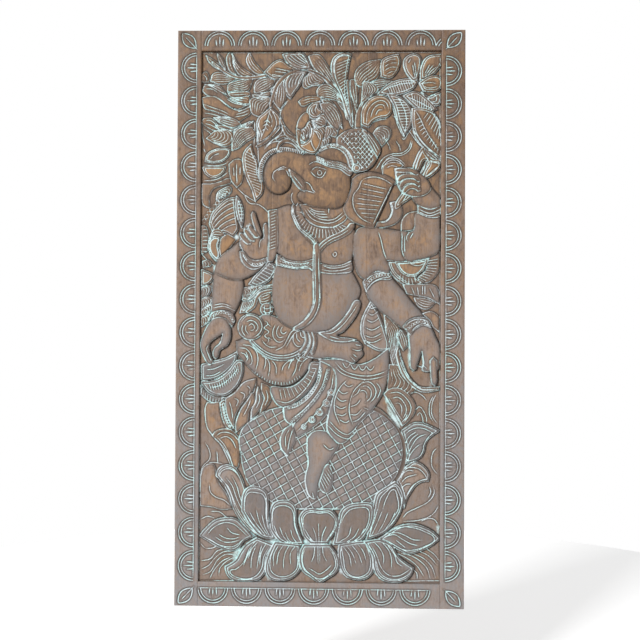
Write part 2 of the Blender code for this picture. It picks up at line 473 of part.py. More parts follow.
def arms_and_body(art):
    art.form(ARM, "214,274! 222,271 236,276 243,282 242,296 237,309 230,318 214,318 212,305 213,288")
    art.form(BAND, "209,321! 212,314.5 221,311.5 230,313.5 235,320 232,328! 226,320.5 219,318.5 213,320")
    art.form(HAND, "213,320! 219,318.5 226,321 230.5,330 230.5,340 227,347 220,351.5 218,358 215,359.5 "
                   "213,354 215,349 220,344.5 223,334.5! 211,343 209,348 211,358 213,363 209.5,365.5 "
                   "205,360 201,351 200,345 204,334 208,326")
    art.form(ARM, "244,262! 251,268 260,267 269,260! 263,268 253,275.5 241,280.5 229,279.5 214,273.5! "
                  "216,265 221,257 230,250 239,243!")
    art.form(HAND, "243,252! 240,243 243,236 250,228 258,233 263,240 264,226 266.5,224 269,228 269,262 "
                   "258,262 248,260")
    art.sweep(FINGER, "260,236,2.2 257,227,2.4 254.5,219,2.3 253.5,214,1.8")
    art.sweep(FINGER, "250,227.5,1.8 254,233,2.1 257,237,1.8")
    art.sweep(FINGER, "245.5,231,1.8 249.5,236.5,2.1 253,240.5,1.8")
    art.sweep(FINGER, "241,235,1.8 245,240,2.1 249,243.5,1.8")
    art.form(BAND, "240,252! 244,253 249,259 256,261.5 267,259! 262,267 254,270 247,267.5 242,261")
    art.form(BELLY, "277,266! 284,268 296,270 310,269 331,274 352,272! 357,281 361,292 357,303 349,314 "
                    "341,323 332,330 320,333 306,332.5 292,329 280,321 274,308 272.5,293 274,277")
    art.form(CHEST, "276,210! 293,207 300,229 316,243 317,262 303,263.5 289,261.5 278,254!")
    art.form(CHEST, "320,252! 332,241 352,229 356,234 355.5,247 352,262! 343,266 331,266.5 320.5,264!")
    art.form(BAND, "277,255! 288,261 302,263 314,260! 313.5,271 310,269 296,269.5 277,265.5!")
    art.form(BAND, "320.5,264! 331,267 343,266 352,262! 352.5,271.5 343,274 331,274.5 320.5,273!")
    art.form(BAND, "269,211! 277,210! 277.5,250 273,262 268,262! 269.5,240")
    art.form(CHEST, "293,206! 303,206 310,219 320,226 332,228 343,223 348,215 356,224 340,238 318,246 "
                    "303,234 293,216!")
    art.form(STEM, "300,205! 348,205 347,219 336,226.5 325,227.5 315,225.5 306,219!")
    art.sweep(CORD, "294,206,1 294,214,1.3 296.5,221,1.4 301,229,1.5 308,235,1.5 314,240,1.5 318,246,1.5")
    art.sweep(CORD, "353,226,2.6 349,231,2.8 341,236,2.8 332,240,2.7 324,245.5,2.5 319,252,2.4")
    art.sweep(CORD, "317,246,2.2 317.3,256,3.2 317.3,275,3.5 317.8,292,3.4 317,306,3.2 312,317,3 "
                    "305,325,2.6 296,330,1.8")
    art.form(BAND, "319,334! 331,331.5 341,323.5 350,312 356,302 361,303 359,313 352,324 344,333 338,337 "
                   "349,339.5 357,341! 345,343 331,341")
    art.form(ARM_FRONT, "365,284! 374,275.5 388,272.5 394,281 403,291 413,304 422,314 424,322 414,328 "
                        "406,331 392,321 378,309.5 369,299")
    art.form(BAND, "364,283! 370,276 379,272.5 389,272.5! 392,279.5 381,280.5 373,284.5 367,292!")
    art.form(ARM_FRONT, "355,236! 360,229 374,228.5 402,232! 403,246 407,260.5 387,261! 390,272 376,272 "
                        "364,280 355,262")
    art.form(ARM_FRONT, "402,232! 414,231.5 418,213 440,213! 440,251 431,257.5 420,260.3 407,260.8")
    art.form(BAND, "419,203! 430,207 441,203! 441,216 430,218 419,213.5!")
    art.form(HAND, "409,333! 416,330 424,326 431,328 436,338 440.5,348 440.5,368 437,372 424,372 "
                   "424.5,364 422.5,352! 418,366 416,371.5 411.5,369 411,352")
    art.sweep(FINGER, "434,362,3.2 434.5,374,3.1 435,382,2.8 435.3,385.5,1.8")
    art.form(BAND, "404,328! 410,321.5 420,318.5 429,321 432,329! 424,326.5 417,329.5 411,336!")


def axe_and_fist(art):
    art.form(LEAF_HIGH, "418,178! 424,170 428,160.5 432,163 427,171 423,179 413,197 405,203 396,208 "
                        "404,192!")
    art.form(LEAF_HIGH, "424,146.5! 426,153 432,159 441,160.5! 441,167 435,174 427,179 423,180! 426,171 "
                        "430,163 425,160.5 421,168 417,175 414,169 416.5,160 420,152")
    art.form(ARM_FRONT, "411,190! 419,188 430,187 436,193 441,199 441,206 430,209 418,205 413,198")
    art.form(HAND, "396,168.5! 405,168.5 413,168.5 420,173 429,182 431,190 424,196 414,197 404,194! "
                   "399,186 397,177")
    art.sweep(FINGER, "397.5,170.8,1.6 404,170.8,2 411,170.8,2.1 417,174,1.8")
    art.sweep(FINGER, "399.5,181.5,1.6 402,178.5,2.1 408,176.7,2.2 415,177.5,1.9 419,181,1.6")
    art.sweep(FINGER, "401.5,187.5,1.6 404,183.8,2.1 409,181.7,2.2 415,182.5,1.9 419,185.5,1.6")
    art.sweep(FINGER, "404.8,192.5,1.5 407,189.3,2 411.5,187,2.1 416.5,188,1.8 419.5,190.5,1.5")


def head(art):
    art.sweep(LEAF, "261,181,1.4 260.7,170,2 264,160,2.1 270.5,152.8,2.1 279,149.8,2.1 290,150,2 "
                    "303,153.5,1.3")
    art.sweep(LEAF, "278,150,1 280,144,1.4 286,140.5,1.6 294,142.5,1.6 301,150,1.3")
    art.sweep(LEAF, "277,139,1 284,136,1.3 293,139,1.4 299,145,1.4 304,151,1.1")
    art.sweep(LEAF, "283,126,1 287,134,1.3 294,138,1.4 300,143,1.2")
    art.form(LEAF_HIGH, "297,129! 301,131 301,143 308,141 312,134 312,128! 320,131 323,138 316,153 "
                        "305,151 299,145")
    art.form(LEAF, "327,126! 333,128 333,133 325,140!")
    art.form(EAR, "353.5,179! 359.7,174.7 369,172.6 378.3,173.6 389,177.5 397,183! 394.5,184 384.5,206 "
                  "374.5,228.3! 364.4,226.7 355,222.8 347.3,216.6 344.2,209! 347,200 350.5,193 352,187")
    art.form(CHEEK, "302.5,190! 297.5,183.5 293,177.5 289.8,171! 290.5,176.2 290.9,183 288.4,189.4 "
                    "282.2,193.6 276,194 270.6,191.3 266,184 264.4,174.7 267.2,164 272,156.8 279,152.8 "
                    "288.4,151.7 298,153.6 306,155.5 318,155.5 330,160 341,164 350.4,174! 350.6,187 "
                    "348,198 345.8,202.6 341,207.3 333.4,208.9 322.5,208 311.7,206.3 302.4,202.6 "
                    "298.5,198.5 298.6,195 301.5,192 307,191!")
    art.form(HAND, "289.6,169.5! 294,172.5 300,177 304,181.5 305.5,188 305,191.8! 300,188.5 295,182.5 "
                   "291.5,176.5")
    art.form(CHEEK, "317,155.5! 324,149.8 333.4,147.3 342.7,150.6 348,157.6 351,168! 341,164 330,161 "
                    "322,158.5")
    art.form(BAND, "316.5,154.5! 323,147.5 333,143.8 343,146.3 350.5,153.5 354,163 353,171! 350,165.5 "
                   "347.5,157 342.5,151 333.4,147.5 324,150")
    art.form(BAND, "317.5,156.5! 325,159.5 332,161.5 341,163 349,167 353.5,172! 350.4,175.8 341,169.5 "
                   "330.3,167 318.5,162!")
    art.form(CROWN, "338,137.5! 345.8,131.5 355,128.5 362.8,128.5 370,133 378,142 381.5,150 378,158 "
                    "373.7,165.4 366,171 357,172 353.5,170! 353.8,162 350,153 343,146.3 338,144")
    art.form(BAND, "363,129.5! 371,133.5 379,142.5 381.3,150 378,157.5! 372,147 367,137.5")
    art.ball(CROWN, 357.3, 168.5, 4.2)


DRAWINGS = (
    upper_left_leaves,
    upper_middle_leaves,
    upper_right_leaves,
    left_side_leaves,
    waist_leaves,
    beside_the_ear,
    below_the_arm,
    lower_right_leaves,
    lower_left_leaves,
    seed_pod,
    upper_petals,
    lower_petals,
    cloth_and_legs,
    arms_and_body,
    axe_and_fist,
    head,
)

def spread(line, step, closed):
    """Points along a line, evenly spaced about a step apart."""
    whole = np.vstack([line, line[:1]]) if closed else line
    run = np.concatenate([[0], np.cumsum(np.linalg.norm(np.diff(whole, axis=0), axis=1))])
    count = max(int(run[-1] / step), 3)
    at = np.linspace(0, run[-1], count + 1)
    even = np.column_stack([np.interp(at, run, whole[:, 0]), np.interp(at, run, whole[:, 1])])
    return even[:-1] if closed else even


def simplify(line, error):
    """Which points of an open line to keep so that no other is further off than the error."""
    keep = {0, len(line) - 1}
    stack = [(0, len(line) - 1)]
    while stack:
        a, b = stack.pop()
        if b - a < 2:
            continue
        off = distance_to(line[a + 1:b], line[[a, b]], closed=False)
        worst = int(off.argmax())
        if off[worst] > error:
            middle = a + 1 + worst
            keep.add(middle)
            stack += [(a, middle), (middle, b)]
    return sorted(keep)


def visible_runs(line, hidden):
    """The stretches of a closed line whose points aren't hidden."""
    if not hidden.any():
        return [np.vstack([line, line[:1]])]
    first = int(np.argmax(hidden))
    line = np.roll(line, -first, axis=0)
    hidden = np.roll(hidden, -first)
    runs, start = [], None
    for i, gone in enumerate(np.append(hidden, True)):
        if not gone and start is None:
            start = i
        elif gone and start is not None:
            if i - start >= SHORTEST_RUN:
                runs.append(line[start:i])
            start = None
    return runs


def form_rows(carving):
    """The rows of points that step down at each outline where it shows."""
    rows = []
    for number, (outline, level, dome, rim) in enumerate(carving.forms):
        line = spread(outline, FINE_STEP, True)
        along = np.roll(line, -1, axis=0) - np.roll(line, 1, axis=0)
        inward = np.column_stack([-along[:, 1], along[:, 0]])
        inward /= np.linalg.norm(inward, axis=1)[:, None] + 1e-12
        hidden = carving.covered(line, number + 1)
        error = FIGURE_CHORD_ERROR if level > FIGURE_LEVEL else LEAF_CHORD_ERROR
        numbered = np.column_stack([line, inward])
        for run in visible_runs(numbered, hidden):
            kept = run[simplify(run[:, :2], error)]
            rows.append(kept[:, :2] + kept[:, 2:] * TOP_ROW)
            rows.append(kept[:, :2] - kept[:, 2:] * FOOT_ROW)
            if rim > BROAD_RIM:
                inner = kept[:, :2] + kept[:, 2:] * rim * DOME_ROW
                deep = inside(inner, outline) & (distance_to(inner, outline) > rim * DOME_ROW * 0.9)
                rows.append(inner[deep & ~carving.covered(inner, number + 1)])
    return rows


def board_mesh(name, box, rows, height, material):
    """A board cut to a box (left, right, low, high) with its face at a height over the ground."""
    left, right, low, high = box
    corner = np.array([[left, low], [right, low], [right, high], [left, high]])
    rim_points = []
    for i in range(4):
        side = spread(corner[[i, (i + 1) % 4]], FINE_STEP / 2, False)
        profile = np.column_stack([np.linalg.norm(side - side[0], axis=1), height(side)])
        rim_points.append(side[simplify(profile, EDGE_HEIGHT_ERROR)][:-1])
    rim = np.vstack(rim_points)
    points, edges = [rim], [(i, (i + 1) % len(rim)) for i in range(len(rim))]
    total = len(rim)
    for row in rows:
        clear = ((row > (left + EDGE_CLEARANCE, low + EDGE_CLEARANCE))
                 & (row < (right - EDGE_CLEARANCE, high - EDGE_CLEARANCE))).all(axis=1)
        number = total + np.cumsum(clear) - 1
        both = clear[:-1] & clear[1:]
        edges += [(int(a), int(a) + 1) for a in number[:-1][both]]
        points.append(row[clear])
        total += int(clear.sum())
    placed = np.vstack(points)
    across = np.arange(left + DOME_GRID / 2, right, DOME_GRID)
    up = np.arange(low + DOME_GRID / 2, high, DOME_GRID)
    grid = np.array([(x + (k % 2) * DOME_GRID / 2, z) for k, z in enumerate(up) for x in across])
    near = np.array([np.abs(placed - point).max(axis=1).min() for point in grid])
    edge_gap = np.minimum(grid - (left, low), (right, high) - grid).min(axis=1)
    grid = grid[(near > DOME_CLEARANCE) & (edge_gap > DOME_CLEARANCE)]
    placed = np.vstack([placed, grid])
    flat, _, faces, _, _, _ = delaunay_2d_cdt([Vector(p) for p in placed], edges, [], 1, WELD)
    flat = np.array([tuple(p) for p in flat])
    face_height = height(flat)
    mesh = bmesh.new()
    front = [mesh.verts.new((x, -(THICKNESS - GROUND_DEPTH) - h, z)) for (x, z), h in zip(flat, face_height)]
    for face in faces:
        mesh.faces.new([front[i] for i in face])
    back = [mesh.verts.new((x, 0, z)) for x, z in corner]
    mesh.faces.new(back[::-1])
    sides = ((1, low, 0, 1), (0, right, 1, 1), (1, high, 0, -1), (0, left, 1, -1))
    for k, (axis, value, other, direction) in enumerate(sides):
        on_side = np.flatnonzero(np.abs(flat[:, axis] - value) < ON_EDGE)
        order = on_side[np.argsort(flat[on_side, other] * direction)]
        mesh.faces.new([front[i] for i in order[::-1]] + [back[k], back[(k + 1) % 4]])
    bmesh.ops.recalc_face_normals(mesh, faces=mesh.faces)
    data = bpy.data.meshes.new(name)
    mesh.to_mesh(data)
    mesh.free()
    data.materials.append(material)
    board = bpy.data.objects.new(name, data)
    bpy.context.scene.collection.objects.link(board)
    return board


def timber(name, colour, roughness):
    """A washed timber finish."""
    material = bpy.data.materials.new(name)
    material.use_nodes = True
    shader = material.node_tree.nodes["Principled BSDF"]
    shader.inputs["Base Color"].default_value = (*colour, 1)
    shader.inputs["Roughness"].default_value = roughness
    shader.inputs["Metallic"].default_value = 0
    return material


def scallop_arcs(centre, across, along):
    """The three rows of a scallop's groove: outer lip, floor and inner lip, bulging outward."""
    turn = np.linspace(-np.pi / 2, np.pi / 2, ARC_STEPS + 1)[:, None]
    reach = np.cos(turn) * across + np.sin(turn) * along
    outer, inner = SCALLOP_RADIUS, SCALLOP_RADIUS - SCALLOP_BAND
    return [centre + reach * radius for radius in (outer, (outer + inner) / 2, inner)]


def border(first, last, count, straight, across, along):
    """A row of scallops whose straight sides lie on one line."""
    centres = [straight + along * place for place in np.linspace(first, last, count)]
    arcs = [arc for centre in centres for arc in scallop_arcs(centre, across, along)]
    floors = arcs[1::3]

    def height(points):
        off = np.full(len(points), np.inf)
        for floor in floors:
            off = np.minimum(off, distance_to(points, floor, closed=False))
        return GROUND_DEPTH - GROOVE_DEPTH * np.clip(1 - off / (SCALLOP_BAND / 2), 0, 1)

    return arcs, height


def corner_leaf(carving, tip, base):
    """A pointed leaf sunk in a stile's end, from its tip to its base, in metres."""
    tip, base = np.array(tip), np.array(base)
    stem = base - tip
    side = np.array([-stem[1], stem[0]]) * LEAF_FULLNESS
    way = np.linspace(0, 1, 9)[1:-1, None]
    bulge = np.sin(np.pi * way) ** LEAF_SHOULDER
    middle = tip + stem * way
    outline = np.vstack([tip, middle + side * bulge, base, (middle - side * bulge)[::-1]])
    carving.add(outline, GROUND_DEPTH - GROOVE_DEPTH, GROOVE_DEPTH, LEAF_RIM)


def field_boards(material):
    """The three upright boards that carry the figure, from the left."""
    carving = Carving()
    for draw in DRAWINGS:
        draw(carving)
    rows = form_rows(carving)
    half = PANEL_WIDTH / 2 - STILE_WIDTH
    low = -PANEL_HEIGHT / 2 + BOTTOM_RAIL_WIDTH + GAP / 2
    high = PANEL_HEIGHT / 2 - TOP_RAIL_WIDTH - GAP / 2
    edges = (-half, *BOARD_JOINTS, half)
    names = ("left_board", "centre_board", "right_board")
    for name, left, right in zip(names, edges[:-1], edges[1:]):
        board_mesh(name, (left + GAP / 2, right - GAP / 2, low, high), rows, carving.height, material)


def frame_members(material):
    """The stiles, full height, and the rails between them, each with its scalloped border."""
    wide, tall = PANEL_WIDTH / 2, PANEL_HEIGHT / 2
    straight = wide - STILE_WIDTH + FILLET_WIDTH
    right, up = np.array([1.0, 0.0]), np.array([0.0, 1.0])
    for name, out, scallops in (("left_stile", -1, LEFT_SCALLOPS), ("right_stile", 1, RIGHT_SCALLOPS)):
        arcs, groove = border(*scallops, right * out * straight, right * out, up)
        leaves = Carving()
        for way in (1, -1):
            corner = np.array([out, way])
            tip = corner * (wide, tall) - corner * LEAF_PLACE
            corner_leaf(leaves, tip, tip - corner * LEAF_SPAN)
        outlines = [outline for outline, _, _, _ in leaves.forms]

        def height(points, groove=groove, leaves=leaves, outlines=outlines):
            sunk = leaves.height(points)
            leafy = np.any([inside(points, outline) for outline in outlines], axis=0)
            return np.where(leafy, sunk, groove(points))

        inner, outer = wide - STILE_WIDTH + GAP / 2, wide
        box = (inner, outer, -tall, tall) if out > 0 else (-outer, -inner, -tall, tall)
        board_mesh(name, box, arcs + form_rows(leaves), height, material)
    inner = wide - STILE_WIDTH - GAP / 2
    top_straight = tall - TOP_RAIL_WIDTH + FILLET_WIDTH
    bottom_straight = -tall + BOTTOM_RAIL_WIDTH - FILLET_WIDTH - BOTTOM_FILLET_SHIFT
    arcs, height = border(*TOP_SCALLOPS, up * top_straight, up, right)
    box = (-inner, inner, tall - TOP_RAIL_WIDTH + GAP / 2, tall)
    board_mesh("top_rail", box, arcs, height, material)
    arcs, height = border(*BOTTOM_SCALLOPS, up * bottom_straight, -up, right)
    box = (-inner, inner, -tall, -tall + BOTTOM_RAIL_WIDTH - GAP / 2)
    board_mesh("bottom_rail", box, arcs, height, material)


def main():
    for leftover in list(bpy.data.objects):
        bpy.data.objects.remove(leftover)
    field_boards(timber("washed_field_timber", (0.27, 0.22, 0.18), 0.75))
    frame_members(timber("washed_frame_timber", (0.24, 0.21, 0.19), 0.75))


main()
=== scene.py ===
"""Looks of a carved timber wall panel: the fine relief, its worn pale wash, and the scalloped frame."""

import bpy
import numpy as np
from bpy.props import FloatProperty, FloatVectorProperty, PointerProperty
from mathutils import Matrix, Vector


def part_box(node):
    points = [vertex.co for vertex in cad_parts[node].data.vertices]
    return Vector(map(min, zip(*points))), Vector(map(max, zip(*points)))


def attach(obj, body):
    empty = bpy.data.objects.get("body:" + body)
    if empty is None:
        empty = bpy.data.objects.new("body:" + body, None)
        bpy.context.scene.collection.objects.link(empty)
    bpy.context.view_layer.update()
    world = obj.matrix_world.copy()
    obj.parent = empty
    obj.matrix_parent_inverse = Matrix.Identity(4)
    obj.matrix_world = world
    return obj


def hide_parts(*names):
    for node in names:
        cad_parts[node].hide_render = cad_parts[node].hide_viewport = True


bl_info = {
    "name": "Carved wall panel",
    "version": (1, 0, 0),
    "blender": (4, 5, 0),
    "location": "View3D > Sidebar > Panel",
    "description": "Carves, washes and lights a framed timber relief of a seated figure over a lotus",
    "category": "Object",
}

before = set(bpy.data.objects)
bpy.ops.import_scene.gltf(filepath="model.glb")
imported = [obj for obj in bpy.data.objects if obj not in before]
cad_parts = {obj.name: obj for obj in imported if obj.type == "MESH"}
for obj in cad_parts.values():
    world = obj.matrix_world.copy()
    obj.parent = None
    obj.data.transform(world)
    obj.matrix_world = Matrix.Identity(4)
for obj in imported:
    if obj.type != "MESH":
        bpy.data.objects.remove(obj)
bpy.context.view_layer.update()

# Driving dimensions, metres
PANEL_WIDTH = 0.9144
PANEL_HEIGHT = 1.8288
THICKNESS = 0.038
GROUND_DEPTH = 0.009
STILE_WIDTH = 0.075
TOP_RAIL_WIDTH = 0.0645
BOTTOM_RAIL_WIDTH = 0.077
SCALLOP_RADIUS = 0.047
SCALLOP_BAND = 0.0085
FILLET_WIDTH = 0.0155
BOTTOM_FILLET_SHIFT = 0.004
LEFT_SCALLOPS = (0.7952, -0.7869, 16)
RIGHT_SCALLOPS = (0.7835, -0.7809, 16)
TOP_SCALLOPS = (-0.3239, 0.3157, 7)
BOTTOM_SCALLOPS = (-0.3344, 0.3035, 7)
LEAF_PLACE = (0.013, 0.009)
LEAF_SPAN = (0.044, 0.047)

# The panel's corners in the photograph, pixels
TOP_LEFT = (177.7, 29.7)
TOP_RIGHT = (465.8, 29.0)
BOTTOM_RIGHT = (464.3, 610.3)
BOTTOM_LEFT = (173.6, 606.3)
PIXEL = PANEL_HEIGHT / 578.0
MILLIMETRE = 0.001

# Sampling: curves, blocks of points, how near a line a point moves onto it, and guards against nought
CURVE_STEPS = 6
CIRCLE_STEPS = 24
ARC_STEPS = 33
BIGGEST_BLOCK = 3_000_000
SNAP_SHARE = 0.5
ON_OUTLINE = 0.00003
SMALLEST = 1e-9
TINIEST = 1e-12
TINY_SQUARE = 1e-18

# Lines, creases and bands beside a form's outline: widths and depths in metres, the rest as shares
CREASE_DEPTH = 0.0010
EDGE_WIDTH = 0.0022
EDGE_WASH_AND_HIGHLIGHT = 0.80
BAND_DROP = 0.0005
BAND_DARKENING = 0.9
CONTOUR_DEPTH = 0.5
CONTOUR_WASH = 0.9
# Painted shade beside lines and outlines: where it lies, its width and its peak strength
SHADE_PLACE = 0.0034
SHADE_WIDTH = 0.0030
SHADE_PEAK = 1.35
# Strengths of the painted shade beside cut lines and inside outlines, and of the darker inset bands and field
# ground
STROKE_SHADE = 0.85
INSET_DARKENING = 0.8
INNER_SHADE = 0.55
GROUND_DARKENING = 0.24
# Painted shade on the low rim of tall forms, standing also for grime kept there, and how fast it falls off
# inward
RIM_SHADE_AND_GRIME = 0.42
RIM_FALL = 1.5
RUBBED_TOP = 0.38
RUBBED_FROM = 0.6

# Painted light and shade by facing: walls towards the lit side get wider wash, the others a wider band of
# painted shade; low walls differ less
LIT_SIDE = (-0.97, -0.12)
WALL_HEIGHT = 0.0046
WALL_REACH = 0.0082
LIT_WIDENS = 1.4
UNLIT_NARROWS = 0.6
UNLIT_EDGE = 0.4
UNLIT_FOOT = 0.45
LIT_SHIFT = 0.4
LIT_CLEARS = 0.8

# Each leaf has a tone of its own: how it changes the film, the bare timber and the dirt
GOLDEN_SHARE = 0.618
TONE_FILM = 0.9
TONE_BARE = 1.5
DARK_LEAF = 1.1
DARK_TONE = 0.42
GROUND_FILM = 0.20
FRAME_FILM = 0.30
BACK_FILM = 0.15

# Strokes: width, depth and wash as shares of a plain cut line; tapers as shares of a line's length
PLAIN_STROKE = (1.0, 1.0, 1.0)
VEIN_STROKE = (0.8, 0.8, 0.9)
BEAD_STROKE = (0.55, 0.6, 0.75)
RUNG_STROKE = (0.85, 0.8, 0.9)
LATTICE_STROKE = (0.95, 0.9, 0.95)
HATCH_STROKE = (0.7, 0.9, 0.95)
SIDE_STROKE = (0.9, 0.6, 0.7)
SILL_WASH_AND_HIGHLIGHT = (1.0, 0.6, 0.95)
BAND_STROKE = (2.2, 1.2, 0.0)
ARC_STROKE = (1.0, 0.9, 1.0)
RAY_STROKE = (1.7, 1.3, 1.25)
STRAIGHT_STROKE = (0.9, 0.8, 0.85)
LEAF_STROKE = (1.5, 1.5, 1.0)
STALK_STROKE = (1.1, 1.0, 1.0)
NO_TAPER = 1e-6
SHORT_TAPER = 0.01
VEIN_TAPER = 0.3
RAY_TAPER = 0.6
RAYS = ((-0.010, 0.019), (0.0, 0.029), (0.010, 0.021))
RAY_START = 0.001
RAY_SPREAD = 1.2

# Veins, beads and hatching, pixels
VEIN_PITCH = 2.5
VEIN_POINTS = 24
MOST_VEINS = 6
BEAD_GROWTH = 1.35
HATCH_SPAN = (160.0, 480.0, 320)
HATCH_SLOPE = 1.2
HATCH_CLEARANCE = 0.6
MOST_HATCHES = 120

# Stains, edges, painted shade on steep walls and the gouge's ripples, metres
STAIN_FADE = 2.5 * PIXEL
STAIN_WASH = 0.75
STAIN_BARE = 0.8
LOW_GROUND = 0.0030
STEEP_FROM = 0.0016
STEEP_SPAN = 0.0040
EDGE_REACH = 0.0030
JOINT_DROP = 0.0006
FRAME_DROP = 0.0012
SHARP_ANGLE = 0.6
RIPPLE_LENGTHS = (0.011, 0.031)
LEAF_POINTS = 17
LEAF_FULLNESS = 0.27
LEAF_SHOULDER = 0.85
STALK_ENDS = (0.25, 0.12)

# Noises: stretch along X, Y and Z per metre, detail, roughness and distortion
STREAKS = ((120, 120, 14), 5.0, 0.65, 1.2)
THREADS = ((520, 520, 22), 3.0, 0.6, 0.0)
BROAD = ((9, 9, 6), 5.0, 0.6, 0.5)
PATCHES = ((40, 40, 26), 5.0, 0.62, 1.0)
MOTTLE = ((70, 70, 45), 5.0, 0.6, 1.4)
SPECKS = ((480, 480, 330), 3.0, 0.6, 0.0)

# Steps of the finish: where a value starts and stops to count, then what it gives at each
LIGHT_GRAIN = (0.20, 0.72)
WARM_PATCHES = (0.40, 0.72, 0.0, 0.65)
DARKER_TOP = (-0.9, -0.2, 0.4, 0.0)
FILM_RISE = (-0.8, 0.7, -0.25, 0.52)
COOL_FILM = (0.35, 1.15)
FILM_COVER = (-0.15, 1.25, 0.0, 0.78)
BARE_ABOVE = (-0.4, 0.4, 1.0, 0.10)
BARE_BREAKS = (0.30, 0.62, 0.25, 0.90)
DARK_BREAKS = (0.25, 0.65, 0.72, 1.0)
WASH_FILLS = (0.36, 0.92, 0.0, 0.92)
WASH_TURNS = (0.40, 0.62)
GRAIN_ROUGHNESS = (0.3, 0.7, 0.66, 0.50)

# The stage
FLOOR_RADIUS = 2.6
FLOOR_STEPS = 96
FLOOR_GLOW = 0.25
ROOM_FADE = 0.25
KEY_PLACE = (-7.9, -10.1, 6.6)
PALE = (0.86, 0.86, 0.86, 1)
WHITE = (1, 1, 1, 1)


# Styles: height of a form's edge over the ground and its dome above that (mm), the rim's rounding
# (photo pixels) and how much film it keeps
STEM = (1.6, 1.2, 2.0, 0.35)
LEAF = (2.0, 2.2, 3.0, 0.3)
PLAIN = (2.2, 1.8, 3.5, 0.0)
BLADE = (3.2, 2.4, 3.5, 0.5)
POD = (3.5, 2.0, 8.0, 0.6)
RIM = (2.6, 1.0, 2.0, 0.3)
PETAL = (4.5, 2.6, 7.0, 0.5)
PETAL_FRONT = (5.6, 2.4, 7.0, 0.5)
CLOTH = (4.2, 3.0, 9.0, 0.5)
BAND = (5.2, 2.0, 5.0, 0.5)
LEG = (4.8, 4.0, 10.0, 0.45)
ARM = (4.8, 4.2, 11.0, 0.4)
ARM_FRONT = (5.4, 3.6, 12.0, 0.55)
HAND = (5.8, 3.2, 6.0, 0.5)
FINGER = (7.0, 2.0, 3.0, 0.5)
BELLY = (4.0, 5.0, 26.0, 0.5)
CHEST = (4.8, 3.6, 13.0, 0.4)
CORD = (7.6, 1.4, 2.5, 0.5)
EAR = (4.8, 2.6, 5.0, 0.35)
CHEEK = (5.4, 3.6, 12.0, -0.1)
CROWN = (5.8, 3.2, 12.0, 0.45)

# By style: the contour line's distance from the outline (pixels), painted shade in hollows, the wash at the
# edge
CONTOURS = {BLADE: 1.9, PETAL: 2.0, PETAL_FRONT: 2.0}
HOLLOW_SHADE = {PETAL: 0.46, PETAL_FRONT: 0.44, RIM: 0.85, POD: 0.08}
RUBBED_EDGES = {CHEEK: 0.55, CHEST: 0.6, BELLY: 0.6, ARM: 0.6, ARM_FRONT: 0.65, EAR: 0.7}


class CarvingSizes(bpy.types.PropertyGroup):
    """How finely and how deep the relief is cut."""
    field_cell: FloatProperty(name="Field cell", description="Spacing of the field's points",
                              default=0.0023, unit="LENGTH")
    frame_cell: FloatProperty(name="Frame cell", description="Spacing of the frame's points",
                              default=0.0021, unit="LENGTH")
    groove_width: FloatProperty(name="Groove width", description="Half the width of a cut line",
                                default=0.0021, unit="LENGTH")
    groove_depth: FloatProperty(name="Groove depth", description="How deep a cut line is",
                                default=0.0013, unit="LENGTH")
    crease_width: FloatProperty(name="Crease width", description="Reach of the wash at a form's foot",
                                default=0.0034, unit="LENGTH")
    tool_marks: FloatProperty(name="Tool marks", description="Height of the gouge's ripples on smooth places",
                              default=0.00022, unit="LENGTH")


class WashColours(bpy.types.PropertyGroup):
    """The timber's colours and the worn wash over it."""
    dark_grain: FloatVectorProperty(name="Dark grain", description="Timber in the grain's dark streaks",
                                    subtype="COLOR", size=3, default=(0.080, 0.047, 0.031))
    light_grain: FloatVectorProperty(name="Light grain", description="Timber between the dark streaks",
                                     subtype="COLOR", size=3, default=(0.225, 0.140, 0.082))
    bare_timber: FloatVectorProperty(name="Bare timber", description="Warm timber where no wash was left",
                                     subtype="COLOR", size=3, default=(0.300, 0.165, 0.070))
    warm_film: FloatVectorProperty(name="Warm film", description="Thin rubbed film on the high places",
                                   subtype="COLOR", size=3, default=(0.290, 0.225, 0.190))
    cool_film: FloatVectorProperty(name="Cool film", description="Thin rubbed film where more of it stayed",
                                   subtype="COLOR", size=3, default=(0.190, 0.196, 0.208))
    wash: FloatVectorProperty(name="Wash", description="Pale wash that fills the cut lines",
                              subtype="COLOR", size=3, default=(0.430, 0.620, 0.615))
    lilac_wash: FloatVectorProperty(name="Lilac wash", description="Where the wash turned greyer",
                                    subtype="COLOR", size=3, default=(0.480, 0.555, 0.580))
    # shade: the colour of painted shade on steep walls, beside lines and outlines and in hollows, and of
    # darker bands, ground and leaves
    shade: FloatVectorProperty(name="Shade", description="Old dirt on the steep walls of the forms",
                               subtype="COLOR", size=3, default=(0.036, 0.026, 0.021))


class StageSettings(bpy.types.PropertyGroup):
    """The studio: camera, lamps and floor."""
    camera_place: FloatVectorProperty(name="Camera place", description="Where the camera stands",
                                      subtype="TRANSLATION", unit="LENGTH", size=3,
                                      default=(0.072, -2.8863, -0.0473))
    camera_turn: FloatVectorProperty(name="Camera turn", description="The camera's turn about X, Y and Z",
                                     subtype="EULER", unit="ROTATION", size=3,
                                     default=(1.5847, -0.0051, 0.0250))
    camera_lens: FloatProperty(name="Camera lens", description="Focal length for a 36 mm sensor, mm",
                               default=50.62, unit="CAMERA")
    key_power: FloatProperty(name="Key lamp", description="Power of the lamp above, W", default=2990.0)
    key_size: FloatProperty(name="Key lamp size", description="Side of the lamp above", default=4.2,
                            unit="LENGTH")
    front_light: FloatProperty(name="Front light", description="Brightness of the room in front",
                               default=0.34)
    back_light: FloatProperty(name="Back light", description="Brightness of the white room behind",
                              default=1.0)
    floor_drop: FloatProperty(name="Floor drop", description="How far the floor lies under the panel",
                              default=0.30, unit="LENGTH")


